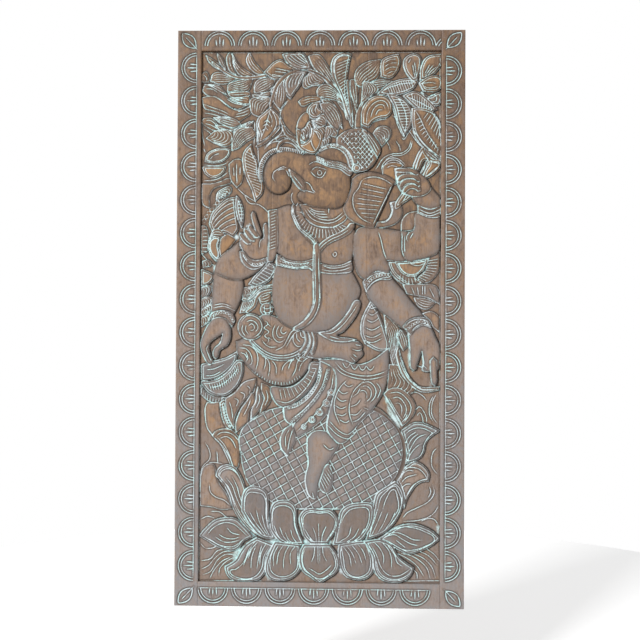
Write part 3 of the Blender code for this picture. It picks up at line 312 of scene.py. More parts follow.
def on_panel(pixels):
    """Photo pixels to metres on the face: shares across and down the four corners' quadrilateral."""
    x, y = np.asarray(pixels, float).reshape(-1, 2).T
    down = (y - TOP_LEFT[1]) / (BOTTOM_LEFT[1] - TOP_LEFT[1])
    left = TOP_LEFT[0] + down * (BOTTOM_LEFT[0] - TOP_LEFT[0])
    right = TOP_RIGHT[0] + down * (BOTTOM_RIGHT[0] - TOP_RIGHT[0])
    across = (x - left) / (right - left)
    top = TOP_LEFT[1] + across * (TOP_RIGHT[1] - TOP_LEFT[1])
    bottom = BOTTOM_LEFT[1] + across * (BOTTOM_RIGHT[1] - BOTTOM_LEFT[1])
    down = (y - top) / (bottom - top)
    return np.column_stack([(across - 0.5) * PANEL_WIDTH, (0.5 - down) * PANEL_HEIGHT])


def read_path(path):
    """A path's points, its widths if it has any, and which points are sharp corners (!)."""
    words = path.split()
    corners = np.array([word.endswith("!") for word in words])
    values = np.array([[float(v) for v in word.rstrip("!").split(",")] for word in words])
    return values, corners


def smooth(values, corners, closed):
    """A curve through every point: each stretch is a cubic whose ends follow the slope from the point
    before to the point after, times the stretch's length; at a sharp corner it follows its own chord."""
    count = len(values)
    ahead = np.roll(values, -1, axis=0)
    behind = np.roll(values, 1, axis=0)
    if not closed:
        ahead[-1] = values[-1]
        behind[0] = values[0]
    slope = ahead - behind
    slope /= np.linalg.norm(slope[:, :2], axis=1)[:, None] + TINIEST
    curve = []
    for i in range(count if closed else count - 1):
        j = (i + 1) % count
        chord = values[j] - values[i]
        length = np.linalg.norm(chord[:2])
        leave = chord if corners[i] else slope[i] * length
        arrive = chord if corners[j] else slope[j] * length
        t = np.linspace(0, 1, CURVE_STEPS, endpoint=False)[:, None]
        curve.append((2 * t**3 - 3 * t**2 + 1) * values[i] + (t**3 - 2 * t**2 + t) * leave
                     + (3 * t**2 - 2 * t**3) * values[j] + (t**3 - t**2) * arrive)
    if not closed:
        curve.append(values[-1:])
    return np.vstack(curve)


def pixel_line(path):
    """An open curve through a path's points, in pixels."""
    values, corners = read_path(path)
    return smooth(values, corners, False)[:, :2]


def circle(x, y, radius):
    """A round outline, from a centre and radius in pixels."""
    turn = np.linspace(0, 2 * np.pi, CIRCLE_STEPS, endpoint=False)
    return on_panel(np.column_stack([x + radius * np.cos(turn), y + radius * np.sin(turn)]))


def spread(line, count):
    """Evenly spaced points along an open line."""
    run = np.concatenate([[0], np.cumsum(np.linalg.norm(np.diff(line, axis=0), axis=1))])
    at = np.linspace(0, run[-1], count)
    return np.column_stack([np.interp(at, run, line[:, 0]), np.interp(at, run, line[:, 1])])


def closest(points, line, closed):
    """For each point: its distance to a line of straight stretches, the nearest place on the line, the
    direction left of that stretch, and how far along the line that place is, from 0 to 1."""
    block = max(BIGGEST_BLOCK // len(line), 1)
    if len(points) > block:
        parts = [closest(points[i:i + block], line, closed) for i in range(0, len(points), block)]
        return [np.concatenate(column) for column in zip(*parts)]
    start = line if closed else line[:-1]
    step = (np.roll(line, -1, axis=0) if closed else line[1:]) - start
    length = (step**2).sum(axis=1) + TINY_SQUARE
    offset_x = points[:, :1] - start[:, 0]
    offset_z = points[:, 1:] - start[:, 1]
    t = np.clip((offset_x * step[:, 0] + offset_z * step[:, 1]) / length, 0, 1)
    square = (offset_x - t * step[:, 0]) ** 2 + (offset_z - t * step[:, 1]) ** 2
    nearest = square.argmin(axis=1)
    every = np.arange(len(points))
    share = t[every, nearest]
    place = start[nearest] + share[:, None] * step[nearest]
    left = np.column_stack([-step[nearest, 1], step[nearest, 0]]) / np.sqrt(length[nearest])[:, None]
    run = np.concatenate([[0], np.cumsum(np.sqrt(length))])
    along = (run[nearest] + share * np.sqrt(length[nearest])) / run[-1]
    return np.sqrt(square[every, nearest]), place, left, along


def inside(points, outline):
    """Which points lie inside a closed outline: a level ray crosses it an odd number of times."""
    block = max(BIGGEST_BLOCK // len(outline), 1)
    if len(points) > block:
        return np.concatenate([inside(points[i:i + block], outline) for i in range(0, len(points), block)])
    ax, az = outline.T
    bx, bz = np.roll(outline, -1, axis=0).T
    px, pz = points[:, :1], points[:, 1:]
    straddles = (az > pz) != (bz > pz)
    rise = np.where(bz == az, TINY_SQUARE, bz - az)
    crossing = ax + (pz - az) / rise * (bx - ax)
    return (straddles & (px < crossing)).sum(axis=1) % 2 == 1


def fade(distance, width):
    """1 at no distance, falling straight to 0 at a width."""
    return np.clip(1 - distance / width, 0, 1)


def shade_beside_line(distance, further=1.0, wider=1.0):
    """How dark the painted shade is at a distance from a line: full at one place beside it, fading to both
    sides.
    """
    return np.clip(SHADE_PEAK * (1 - np.abs(distance - SHADE_PLACE * further) / (SHADE_WIDTH * wider)), 0, 1)


class Face:
    """The carved face of one member: a grid of points over its box, with a height and a finish at each.
    It is cut twice. The first cut notes the outline or groove that passes close to each point, the
    points move onto it, and the second cut works out every height and finish at the moved points."""

    def __init__(self, node, cell, level, film):
        low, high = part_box(node)
        self.corner = np.array([low.x, low.z])
        self.far = np.array([high.x, high.z])
        cells = np.maximum(np.round((self.far - self.corner) / cell).astype(int), 2)
        self.step = (self.far - self.corner) / cells
        self.snap = SNAP_SHARE * self.step.min()
        across = np.linspace(low.x, high.x, cells[0] + 1)
        up = np.linspace(low.z, high.z, cells[1] + 1)
        self.points = np.stack(np.meshgrid(across, up), axis=-1)
        self.level = level
        self.ground_film = film
        self.begin()

    def begin(self):
        """An uncut face."""
        shape = self.points.shape[:2]
        self.height = np.full(shape, self.level)
        self.wash = np.zeros(shape)
        self.film = np.full(shape, self.ground_film)
        self.bare = np.zeros(shape)
        # dark: share of the shade colour, painted shade and darker tones; the field's ground starts darker
        self.dark = np.full(shape, GROUND_DARKENING if self.level == 0 else 0.0)
        self.gap = np.full(shape, np.inf)
        self.target = self.points.copy()

    def settle(self):
        """Moves the points onto the lines noted for them. Points on the box's edge stay on that edge."""
        moved = self.target
        for axis, count in ((0, 1), (1, 0)):
            edge = [slice(None), slice(None)]
            for end in (0, -1):
                edge[count] = end
                moved[tuple(edge)][:, axis] = self.points[tuple(edge)][:, axis]
        self.points = moved
        self.begin()

    def window(self, line, margin):
        """The rows and columns of the grid over a line's box, and their points, or None where it is off."""
        low = np.floor((line.min(axis=0) - margin - self.corner) / self.step).astype(int)
        high = np.ceil((line.max(axis=0) + margin - self.corner) / self.step).astype(int) + 1
        rows, columns = self.points.shape[:2]
        low = np.maximum(low, 0)
        high = np.minimum(high, (columns, rows))
        if (low >= high).any():
            return None, None
        where = slice(low[1], high[1]), slice(low[0], high[0])
        return where, self.points[where].reshape(-1, 2)

    def put(self, name, where, within, value):
        """Sets a layer to a value at the points within."""
        part = getattr(self, name)[where]
        part[...] = np.where(within, value, part.ravel()).reshape(part.shape)

    def at_least(self, name, where, value):
        """Raises a layer to a value wherever it is under it."""
        part = getattr(self, name)[where]
        part[...] = np.maximum(part, value.reshape(part.shape))

    def lower(self, where, depth):
        part = self.height[where]
        part -= depth.reshape(part.shape)

    def note(self, where, near, distance, place):
        """Notes a line's place for the points that are nearer to it than to any noted before."""
        gap = self.gap[where].ravel()
        target = self.target[where].reshape(-1, 2)
        better = near & (distance < self.snap) & (distance < gap)
        gap[better] = distance[better]
        target[better] = place[better]
        self.gap[where] = gap.reshape(self.gap[where].shape)
        self.target[where] = target.reshape(self.target[where].shape)

    def note_inset(self, where, points, within, distance, place, inset):
        """Notes the line inside an outline that keeps the same distance from it."""
        inward = (points - place) / np.maximum(distance, SMALLEST)[:, None]
        self.note(where, within, np.abs(distance - inset), place + inward * inset)


class Form:
    """A raised form. Inside its outline the height is level + dome * sqrt(1 - (1 - t)^2), where t is the
    distance to the outline over the rim's width, at most 1. Wash lies along the outline on both sides and a
    band of painted shade next to it outside; walls that face the lit side get wider wash and a brighter edge
    as painted light, the other walls a wider band of painted shade. Inside, painted shade darkens the low rim
    of tall forms and the hollows of petals, and some leaves are darker in tone. A form with a contour has a
    darker sunk band inside its outline and a second line of wash along the band's inner side."""

    def __init__(self, outline, style, contour=0.0, tone=0.5, edge=1.0, hollow_shade_and_tone=0.0):
        level, dome, rim, film = style
        self.edge, self.hollow_shade_and_tone = edge, hollow_shade_and_tone
        self.contour = contour * PIXEL
        self.film = film + TONE_FILM * (0.5 - tone)
        self.bare = TONE_BARE * max(tone - 0.5, 0)
        area = np.cross(outline, np.roll(outline, -1, axis=0)).sum()
        self.outline = outline if area > 0 else outline[::-1]
        self.level, self.dome, self.rim = level * MILLIMETRE, dome * MILLIMETRE, rim * PIXEL
        self.tall = min(self.level / WALL_HEIGHT, 1)

    def cut(self, face, sizes):
        where, points = face.window(self.outline, WALL_REACH)
        if where is None:
            return
        distance, place, left, _ = closest(points, self.outline, True)
        within = inside(points, self.outline)
        # lit: how far the wall faces the lit side, for painted light and shade
        lit = -(left @ LIT_SIDE) * self.tall
        unlit = np.minimum(lit, 0)
        wide = 1 + np.where(lit > 0, LIT_WIDENS, UNLIT_NARROWS) * lit
        reach = np.clip(distance / self.rim, 0, 1)
        top = self.level + self.dome * np.sqrt(1 - (1 - reach) ** 2)
        crease = fade(distance, sizes.crease_width * wide)
        # Pale wash on the form's top edge, standing partly for a painted highlight there, dimmer on unlit
        # walls
        edge = EDGE_WASH_AND_HIGHLIGHT * self.edge * fade(distance, EDGE_WIDTH) * (1 + UNLIT_EDGE * unlit)
        band = np.zeros(len(points))
        if self.contour:
            line = fade(np.abs(distance - self.contour), sizes.groove_width)
            band = fade(np.abs(distance - self.contour / 2), self.contour / 2)
            top = top - BAND_DROP * np.sqrt(band) - CONTOUR_DEPTH * sizes.groove_depth * line
            edge = np.maximum(edge, CONTOUR_WASH * line)
        # Darker sunk band; painted shade inside the outline, in petal hollows and on the low rim; darker tone
        # on some leaves
        dirt = np.maximum.reduce([BAND_DARKENING * band, INNER_SHADE * shade_beside_line(distance), self.hollow_shade_and_tone * reach,
                                  RIM_SHADE_AND_GRIME * self.tall * (1 - reach) ** RIM_FALL])
        face.lower(where, CREASE_DEPTH * crease)
        # Wash in the crease at the form's foot, wider and brighter towards the lit side as painted light
        face.at_least("wash", where, self.edge * crease * (1 + UNLIT_FOOT * unlit))
        # Painted shade outside the outline: nearer and wider on unlit walls, thin on lit ones
        face.at_least("dark", where, shade_beside_line(distance, 1 + LIT_SHIFT * lit, 1 - LIT_CLEARS * lit))
        film = self.film + RUBBED_TOP * self.tall * (RUBBED_FROM - reach)
        for name, value in (("height", top), ("wash", edge), ("dark", dirt), ("film", film),
                            ("bare", self.bare), ("gap", np.inf)):
            face.put(name, where, within, value)
        covered = within.reshape(face.gap[where].shape)[..., None]
        face.target[where] = np.where(covered, face.points[where], face.target[where])
        face.note(where, np.ones(len(points), bool), distance, place + left * ON_OUTLINE)
        if self.contour:
            face.note_inset(where, points, within, distance, place, self.contour)


class Strokes:
    """Cut lines filled with wash. Across a line the depth falls straight from its middle to its edges,
    and towards its ends the line thins out."""

    def __init__(self, lines, width=1.0, depth=1.0, wash=1.0, within=None, dirt=None, taper=0.12):
        self.lines, self.within = lines, within
        self.width, self.depth, self.wash, self.dirt, self.taper = width, depth, wash, dirt, taper

    def cut(self, face, sizes):
        half_width = sizes.groove_width * self.width
        for line in self.lines:
            where, points = face.window(line, half_width + SHADE_WIDTH)
            if where is None:
                continue
            distance, place, _, along = closest(points, line, False)
            thin = np.clip(np.minimum(along, 1 - along) / self.taper, 0, 1) * 0.5 + 0.5
            share = fade(distance, half_width) * thin
            near = np.ones(len(points), bool)
            if self.within is not None:
                clear = closest(points, self.within, True)[0] > half_width * HATCH_CLEARANCE
                near = inside(points, self.within) & clear
                share = share * near
            face.lower(where, sizes.groove_depth * self.depth * share)
            face.at_least("wash", where, self.wash * share)
            # Painted shade beside each line; a given darkening darkens the groove itself instead
            beside = shade_beside_line(distance) * near * thin
            dirt = STROKE_SHADE * self.wash * beside if self.dirt is None else self.dirt * np.sqrt(share)
            face.at_least("dark", where, dirt)
            face.note(where, near, distance, place)


class Inset:
    """A line cut inside a form's outline, everywhere the same distance from it."""

    def __init__(self, outline, distance):
        self.outline, self.distance = outline, distance * PIXEL

    def cut(self, face, sizes):
        where, points = face.window(self.outline, 0)
        if where is None:
            return
        distance, place, _, _ = closest(points, self.outline, True)
        within = inside(points, self.outline)
        share = fade(np.abs(distance - self.distance), sizes.groove_width) * within
        band = fade(np.abs(distance - self.distance / 2), self.distance / 2) * within
        face.lower(where, sizes.groove_depth * share)
        face.at_least("wash", where, share)
        face.at_least("dark", where, INSET_DARKENING * band)
        face.note_inset(where, points, within, distance, place, self.distance)


class Stain:
    """A soft-edged patch of wash or of bare timber low in the hollows between forms, with no cut."""

    def __init__(self, outline, wash, bare):
        self.outline, self.wash, self.bare = outline, wash, bare

    def cut(self, face, sizes):
        where, points = face.window(self.outline, STAIN_FADE)
        if where is None:
            return
        distance = closest(points, self.outline, True)[0]
        side = np.where(inside(points, self.outline), 0.5, -0.5)
        share = 0.5 + side * np.clip(distance / STAIN_FADE, 0, 1)
        low = np.clip(1 - face.height[where].ravel() / LOW_GROUND, 0, 1)
        face.at_least("wash", where, self.wash * share * low)
        face.at_least("bare", where, self.bare * share * low)


def veins(outline, corners):
    """Lines along a leaf: at each share they run between its two sides, from one tip to the other."""
    first, second = np.flatnonzero(corners) * CURVE_STEPS
    back = np.roll(outline, -second, axis=0)[:len(outline) - second + first + 1]
    a, b = spread(outline[first:second + 1], VEIN_POINTS), spread(back, VEIN_POINTS)[::-1]
    widest = np.linalg.norm(a - b, axis=1).max()
    number = int(np.clip(round(widest / (VEIN_PITCH * PIXEL)) - 1, 1, MOST_VEINS))
    lines = []
    for k in range(number):
        share = (k + 1) / (number + 1)
        line = a * (1 - share) + b * share
        lines.append(line[2 + k % 2:VEIN_POINTS - 3 - k % 3])
    return lines


class Carving:
    """The drawing's forms and cut lines in painter's order."""

    def __init__(self):
        self.cuts = []

    def strokes(self, lines, style, **more):
        """Cut lines of a style: their width, depth and wash."""
        self.cuts.append(Strokes(lines, *style, **more))

    def form(self, style, path, *lines):
        """A form with a closed outline, in pixels, and lines cut on it."""
        values, corners = read_path(path)
        outline = on_panel(smooth(values, corners, True))
        tone = len(self.cuts) * GOLDEN_SHARE % 1.0 if style in (STEM, PLAIN, LEAF, BLADE) else 0.5
        # Painted shade in hollows by style; some leaves get a darker tone instead
        hollow_shade_and_tone = HOLLOW_SHADE.get(style, DARK_LEAF * max(DARK_TONE - tone, 0))
        edge = RUBBED_EDGES.get(style, 1.0)
        self.cuts.append(Form(outline, style, CONTOURS.get(style, 0.0), tone, edge, hollow_shade_and_tone))
        if corners.sum() == 2 and style == LEAF:
            self.strokes(veins(outline, corners), VEIN_STROKE, taper=VEIN_TAPER)
        if lines:
            self.line(*lines)

    def forms(self, style, *paths):
        """Plain forms of one style."""
        for path in paths:
            self.form(style, path)

    def sweep(self, style, *paths):
        """Limbs along paths of x, y and half the width, in pixels; their sections are full rounds."""
        for path in paths:
            line = smooth(*read_path(path), False)
            along = np.gradient(line[:, :2], axis=0)
            along /= np.linalg.norm(along, axis=1)[:, None] + TINIEST
            side = np.column_stack([-along[:, 1], along[:, 0]]) * line[:, 2:]
            tip = line[-1, :2] + along[-1] * line[-1, 2]
            tail = line[0, :2] - along[0] * line[0, 2]
            outline = np.vstack([tail, line[:, :2] + side, tip, (line[:, :2] - side)[::-1]])
            self.cuts.append(Form(on_panel(outline), (*style[:2], line[:, 2].max(), style[3])))

    def ball(self, style, x, y, radius):
        """A round boss."""
        self.cuts.append(Form(circle(x, y, radius), (*style[:2], min(style[2], radius), style[3])))

    def beads(self, path, count, radius):
        """A row of small round beads along a path."""
        rings = [circle(x, y, radius * BEAD_GROWTH) for x, y in spread(pixel_line(path), count)]
        self.strokes([np.vstack([ring, ring[:1]]) for ring in rings], BEAD_STROKE, taper=NO_TAPER)

    def line(self, *paths):
        """Cut lines."""
        self.strokes([on_panel(pixel_line(path)) for path in paths], PLAIN_STROKE)

    def inset(self, distance):
        """A contour line inside the last form."""
        self.cuts.append(Inset(self.last().outline, distance))

    def rungs(self, path_a, path_b, count):
        """Short strokes that join the same shares of two paths."""
        a, b = spread(pixel_line(path_a), count), spread(pixel_line(path_b), count)
        self.strokes([on_panel(np.vstack([p, q])) for p, q in zip(a, b)], RUNG_STROKE)

    def lattice(self, *families):
        """Families of straight lines over the last form: slope, one line's height at x = 0, and the step
        from one line's height to the next, in pixels."""
        for family in families:
            self.hatch(self.last().outline, *family, LATTICE_STROKE)

    def crosshatch(self, path, pitch):
        """Two families of slanting lines inside an outline."""
        values, corners = read_path(path)
        outline = on_panel(smooth(values, corners, True))
        for slope in (-HATCH_SLOPE, HATCH_SLOPE):
            self.hatch(outline, slope, 0, pitch * np.hypot(1, slope), HATCH_STROKE)

    def hatch(self, outline, slope, start, step, style):
        """Straight lines y = slope * x + start + k * step, for whole k, kept inside an outline."""
        x = np.linspace(*HATCH_SPAN)
        lines = []
        for number in range(-MOST_HATCHES, MOST_HATCHES):
            run = on_panel(np.column_stack([x, slope * x + start + number * step]))
            kept = run[inside(run, outline)]
            if len(kept) > 1:
                lines.append(np.vstack([kept[0], kept[-1]]))
        self.strokes(lines, style, within=outline, taper=NO_TAPER)

    def last(self):
        """The form painted last."""
        return next(cut for cut in reversed(self.cuts) if isinstance(cut, Form))


# The carving, painted from the ground up: a later form covers what lies under it. A sweep's points
# carry a half-width.

def upper_left_leaves(art):
    art.form(PLAIN, "202,90! 205,84 212.5,85 218,88 226,96 233,100.5 247,104.5! 238.5,108.5 232,107.5 "
        "226,103.5 220.5,99 214.5,95.7 208,95")
    art.form(PLAIN, "201.5,97! 208,95.8 214.5,96.5 220.5,100 226,104.5 232,108.3 240,110 250,106! 250.5,113 "
        "244,118 239,121.5! 233,119.5 228,116 221,113 212.5,110 204.5,107.5", "226,98 234,102.5 247,105",
        "222,101.5 230,107 238,109", "238,111.5 246,107.5", "236,114 243,112 249,109.5",
        "234,116.5 243,115 249,112.5")
    art.line("205,88 212,88.5 219,93", "204,104 212,107 221,110 229,114")
    art.form(PLAIN, "201,73! 206,71 209,78 208,81! 201,81!", "203,74 206,77 206,80")
    art.forms(LEAF, "210.5,80! 212,74 216,71.5 222,72 229,75 237,77.5! 229,82 219,83",
        "205.5,54! 212,58 218,62.5 225,70! 216,67 209,61",
        "216.6,52! 221.5,56 224,61 225.5,69! 220.5,63 218,57.5",
        "229.5,51! 232,55 232.5,62 236,74! 230,70 227,63 226.5,56",
        "232,52! 237,61 244,68 255,75! 245,76 238,72 234,64.5",
        "249.5,51! 254,60 259,66 265,73! 258,73 251,68 246.5,59",
        "204,83! 214,84 220,85.5 226.5,94! 219,90 211,85.5",
        "227.5,91! 228,84 233.5,81 241,79 253,77.5! 251.5,83 248,90 238,91",
        "228,92.5! 238,91.5 249,91.5 250,95! 240,96.5 231,96",
        "229,97! 239,97.5 248.5,96 249,103.5! 240,102 233,99.5",
        "254.5,91.5! 254.5,85 257,80 263,77 270,77 275,79.5! 272,86 266,91 260,92",
        "252,94! 260,93.5 271,90.5! 270,95 262,95.5 255,96.5",
        "251,98.5 260,96.8 271.5,97! 270,104.5 265,111.5 259,116! 252.5,113 250.5,106")
    art.form(BLADE,
        "264.5,71.2! 271,64 277.5,59.3 283,59.3 289,64 299,68.5! 290,73.5 282,77 275.5,78 269.5,75.5",
        "274,70.5 282,71.5 289,72.5", "272,73.5 280,75 287,74", "275,67.5 283,69 291,70.5")
    art.form(BLADE,
        "289,73 284.5,80 284.5,88 287,94.5 291,98! 296,91 301,84 305,76 308,69.5! 300,70.5 294,71.5",
        "293,75 289.5,82 289.5,88", "297,73.5 293,80 292,87", "301,72.5 296.5,79 295,85",
        "304,72 300,78 298,84")
    art.forms(LEAF, "283,78! 284.5,86 286.5,95 283,106.5 280,108.5! 275.5,103.5 273.5,99 275,91 278,84",
        "272,93! 274,90 279,84 281,80! 276,84.5 272,88")
    art.form(BLADE, "271,106.5! 277,112 281,117.5 281,126.5 275.5,133.5 267.5,139.5 257.5,144.5! 259.5,134 "
        "257,126 258.5,118 264.5,112.5", "270.5,108 268,118 265,128 260,140",
        "271,109 275,116 276.5,124 273,132", "269.5,112 272,119 271.5,127")
    art.line("267.5,120 270.5,123", "266.5,123 269.5,126.5", "268,119 264.5,122", "267,123 263,126",
        "265.5,127 268,130", "265.5,128 261.5,131")
    art.sweep(STEM, "300,68.5,1.1 290,72.5,1.5 283,77.5,1.7 277,85,1.5 273,96,1.4 270.5,106,1.1",
        "266,74.5,1.1 256,76.3,1.2 246,77,1.2 236,76,1.1 227,72,.9 218,66,.8 212,61,.6")
    art.form(LEAF, "203,118! 211,118 217,124 223,131! 214,130 206,126 201,122!", "205,120 211,120.5 219,128",
        "204,123 211,125 218,129")
    art.form(LEAF, "213,117! 226,116.5 236,119.5 241,124! 233,127 223,124")
    art.form(LEAF, "215,125! 224,125.5 233,128.5 239,128! 231,132 222,131",
        "203,112 212,113.5 222,116.5 230,118", "201.5,119 201.5,132 204,146", "203,128 210,133 212,138")
    art.form(LEAF, "253.5,120.5! 250,128 245,134 236,140.5! 238,133 244,127")
    art.form(LEAF, "235,129! 242,124.5 250,121! 246,126 240,130 233,136", "254.3,121 254.5,134 253.5,146",
        "256.3,121 256.8,134 256,144")
    art.line("288.6,99 280.5,112 283,125 291,136 299.6,141.8", "281.7,114 282,130.8 273.4,139 263.7,147.3",
        "286,101 279,111")
    art.line("266.5,144.6 274.8,138 285.8,136.3 297,143.2 306.5,152.8", "258,122.5 257.6,144.6 258.6,165.2",
        "264,149 272,142 283,141")
    art.sweep(STEM, "281,119,.9 284,126,1.2 289,132,1.2 296,138,1.1 302,142,.8")


def upper_middle_leaves(art):
    art.form(BLADE, "283,53! 295,51.5 303,52 309,60 312,68! 299,68 288,62", "287,55 293,60 301,64.5 308,66",
        "290,54 297,60 305,64", "294,53.5 300,58.5 307,63", "298,53.5 303,58 308,62", "302,54 306,58")
    art.form(LEAF, "309,55! 314,53.5 320,54 326.5,62 334,75.5 343,95 348,115! 340,104 332,88 322,75 314,66")
    art.sweep(STEM, "309,69,1 316,71.5,1.2 324,76,1.3 333,85,1.4 341,96,1.4 346,108,1.3 348,118,1")
    art.forms(LEAF, "311,71! 318,74 325,80 322,84! 313,85 305,87 304,79",
        "318.5,96! 317.5,90 322,84.5 328,84 334,87.5 339,93 344,103! 336,99.5 328,98",
        "322,99! 330,100 337,107 341,117 343,128! 337,119 330,110",
        "299,101! 303,97.5 310,95.8 318,96 322,98! 319,101 311,102.5 303,105.5",
        "321,103! 330,102.5 339,110 342,122 338,131! 331,124 324,114")
    art.form(BLADE, "321,101! 313,103 308,109 309,115 315,118.5 321,116 324,111 319,107",
        "313,107 312,111 314.5,114.5", "317,105 315.5,110 317.5,114.5")
    art.forms(LEAF, "297,128! 299,120 303,114 307,112 310,116 308,124 303,130",
        "312,120! 317,119 323,114 327,119 326,125! 320,126",
        "300,131! 306,127 310,121.5 313,126 312,134 305,142! 301,139",
        "313,122! 318,126 325,127 328,132 324,138! 318,134",
        "313,128! 317,135 318,143 316,152! 312,146 310,138", "327,126! 332,126 338,132 336,137! 330,134",
        "319,140! 325,139 331,138 329,144 322,148!")
    art.form(BLADE,
        "352,53! 344,51.5 335,56 332,65 334,78 341,93 347,112 352,125! 351,108 347,92 348,74 350,61",
        "354,57 348,55 341,55.5 336,60 335,70 338,82 345,98 349,112")
    art.rungs("336,64 337,76 341,88 347,103", "351,58 348,70 347,86 350,100", 15)
    art.form(LEAF, "351,79! 355,79 358.5,84 358.5,95 357.5,112! 354,100 351,90")
    art.sweep(STEM, "348,80,.9 349.5,95,1.1 351.5,110,1.3 353,125,1.4",
        "378,90,1 369,96,1.6 363,105,2.2 359.5,115,2.8 359,127,3")
    art.line("373,91 366,98 361,107", "352,112 353,119 353,127", "364,112 362.5,120 362.5,127")


def upper_right_leaves(art):
    art.form(LEAF, "357,84! 355.5,77 357,69.5 363,63.5 371.5,59.8 381,58.5! 381.5,67 378,77 371.5,81 363,86")
    art.form(BLADE, "382,76! 382.5,60 389,55.5 399,53! 401,60 399,69 392,77", "385,62 390,59 397,58",
        "385,66 391,62.5 398,62", "385,70 391,66.5 398,66.5", "387,73.5 392,71 396,71")
    art.form(LEAF, "371,82! 380,79 393,80.5! 385,86 376,88")
    art.form(BLADE, "378,93.5! 387,85 397,80 410,78 419,80.5! 414,88 405,92.5 392,95",
        "381,92 390,87 401,83.5 416,82")
    art.rungs("388,86 398,81 411,79.5", "391,94 404,92 414,87.5", 11)
    art.form(LEAF, "364,81! 372,82 378,88 375,93 367,99 362,102!")
    art.form(BLADE, "413,80! 406,70 405,59 413,53 421,56 421,68 418,79!", "415,61 417,78", "411,58 409,62",
        "413,64 415.5,77")
    art.form(BLADE, "421,79! 422,66 428,56 442,53! 442,63 435,73 426,78", "425,74 428,68 430,64",
        "426,75 430,69 434,64", "428,75 432,70 437,66")
    art.form(BLADE, "420,82! 430,76 440,76 443,83 439,90 430,91 424,90!", "421,83 431,82 437,83",
        "424,86 431,87.5 438,86")
    art.form(BLADE, "422,91! 430,96 440,92 442,98 439,105 430,103",
        "429,99 430,96 434,94 437,97 436,101 432,101")
    art.form(BLADE, "404,95! 416,91 427,98 438,109! 426,113 414,105", "407,96 418,101 433,109")
    art.rungs("412,93 421,96 431,105", "414,103 422,110 432,111", 9)
    art.form(BLADE, "388,93! 397,95 407,101 413,112 412,125 405,136! 399,121 395,106",
        "399,98 405,110 407,122 405,133")
    art.rungs("394,99 398,112 404,130", "404,100 411,112 408,130", 12)
    art.line("384,93 391,101 395,113 398,124 404,137", "413,127 408,134 404.5,139 402,136")
    art.form(BLADE, "413,108! 424,108 434,112 441,123! 442,162 428,151 417,138 413,122",
        "415,109 421,119 425,128 432,140 441,153", "424,110 433,113 439,121 441,130",
        "414,126 420,138 429,148 441,158")
    art.rungs("416,120 422,135 440,156", "421,118 428,132 441,150", 12)
    art.rungs("424,119 431,129 441,143", "429,112 437,119 441.5,132", 8)
    art.form(LEAF, "424.5,148! 433,153 441,160.5 441,164! 431,160 426,155", "413,128 420,139 430,150 441,160",
        "410,131 418,142 424,148")
    art.form(BLADE,
        "362,124! 363,110 369,100 377,95.5 386,96 392,102 392.5,111 388,116.5 380,118 374,121 369,127!",
        "367,124 368,112 372,105 379,100.5 385,101 388.5,106 388.5,110.5",
        "371,118 374,109 379,104.5 384,105 385.5,109", "376,115 379,110 383,109.5")
    art.line("370,127 373,122.5 380,119.5 387,118.5", "393,115 397,118 399,124")


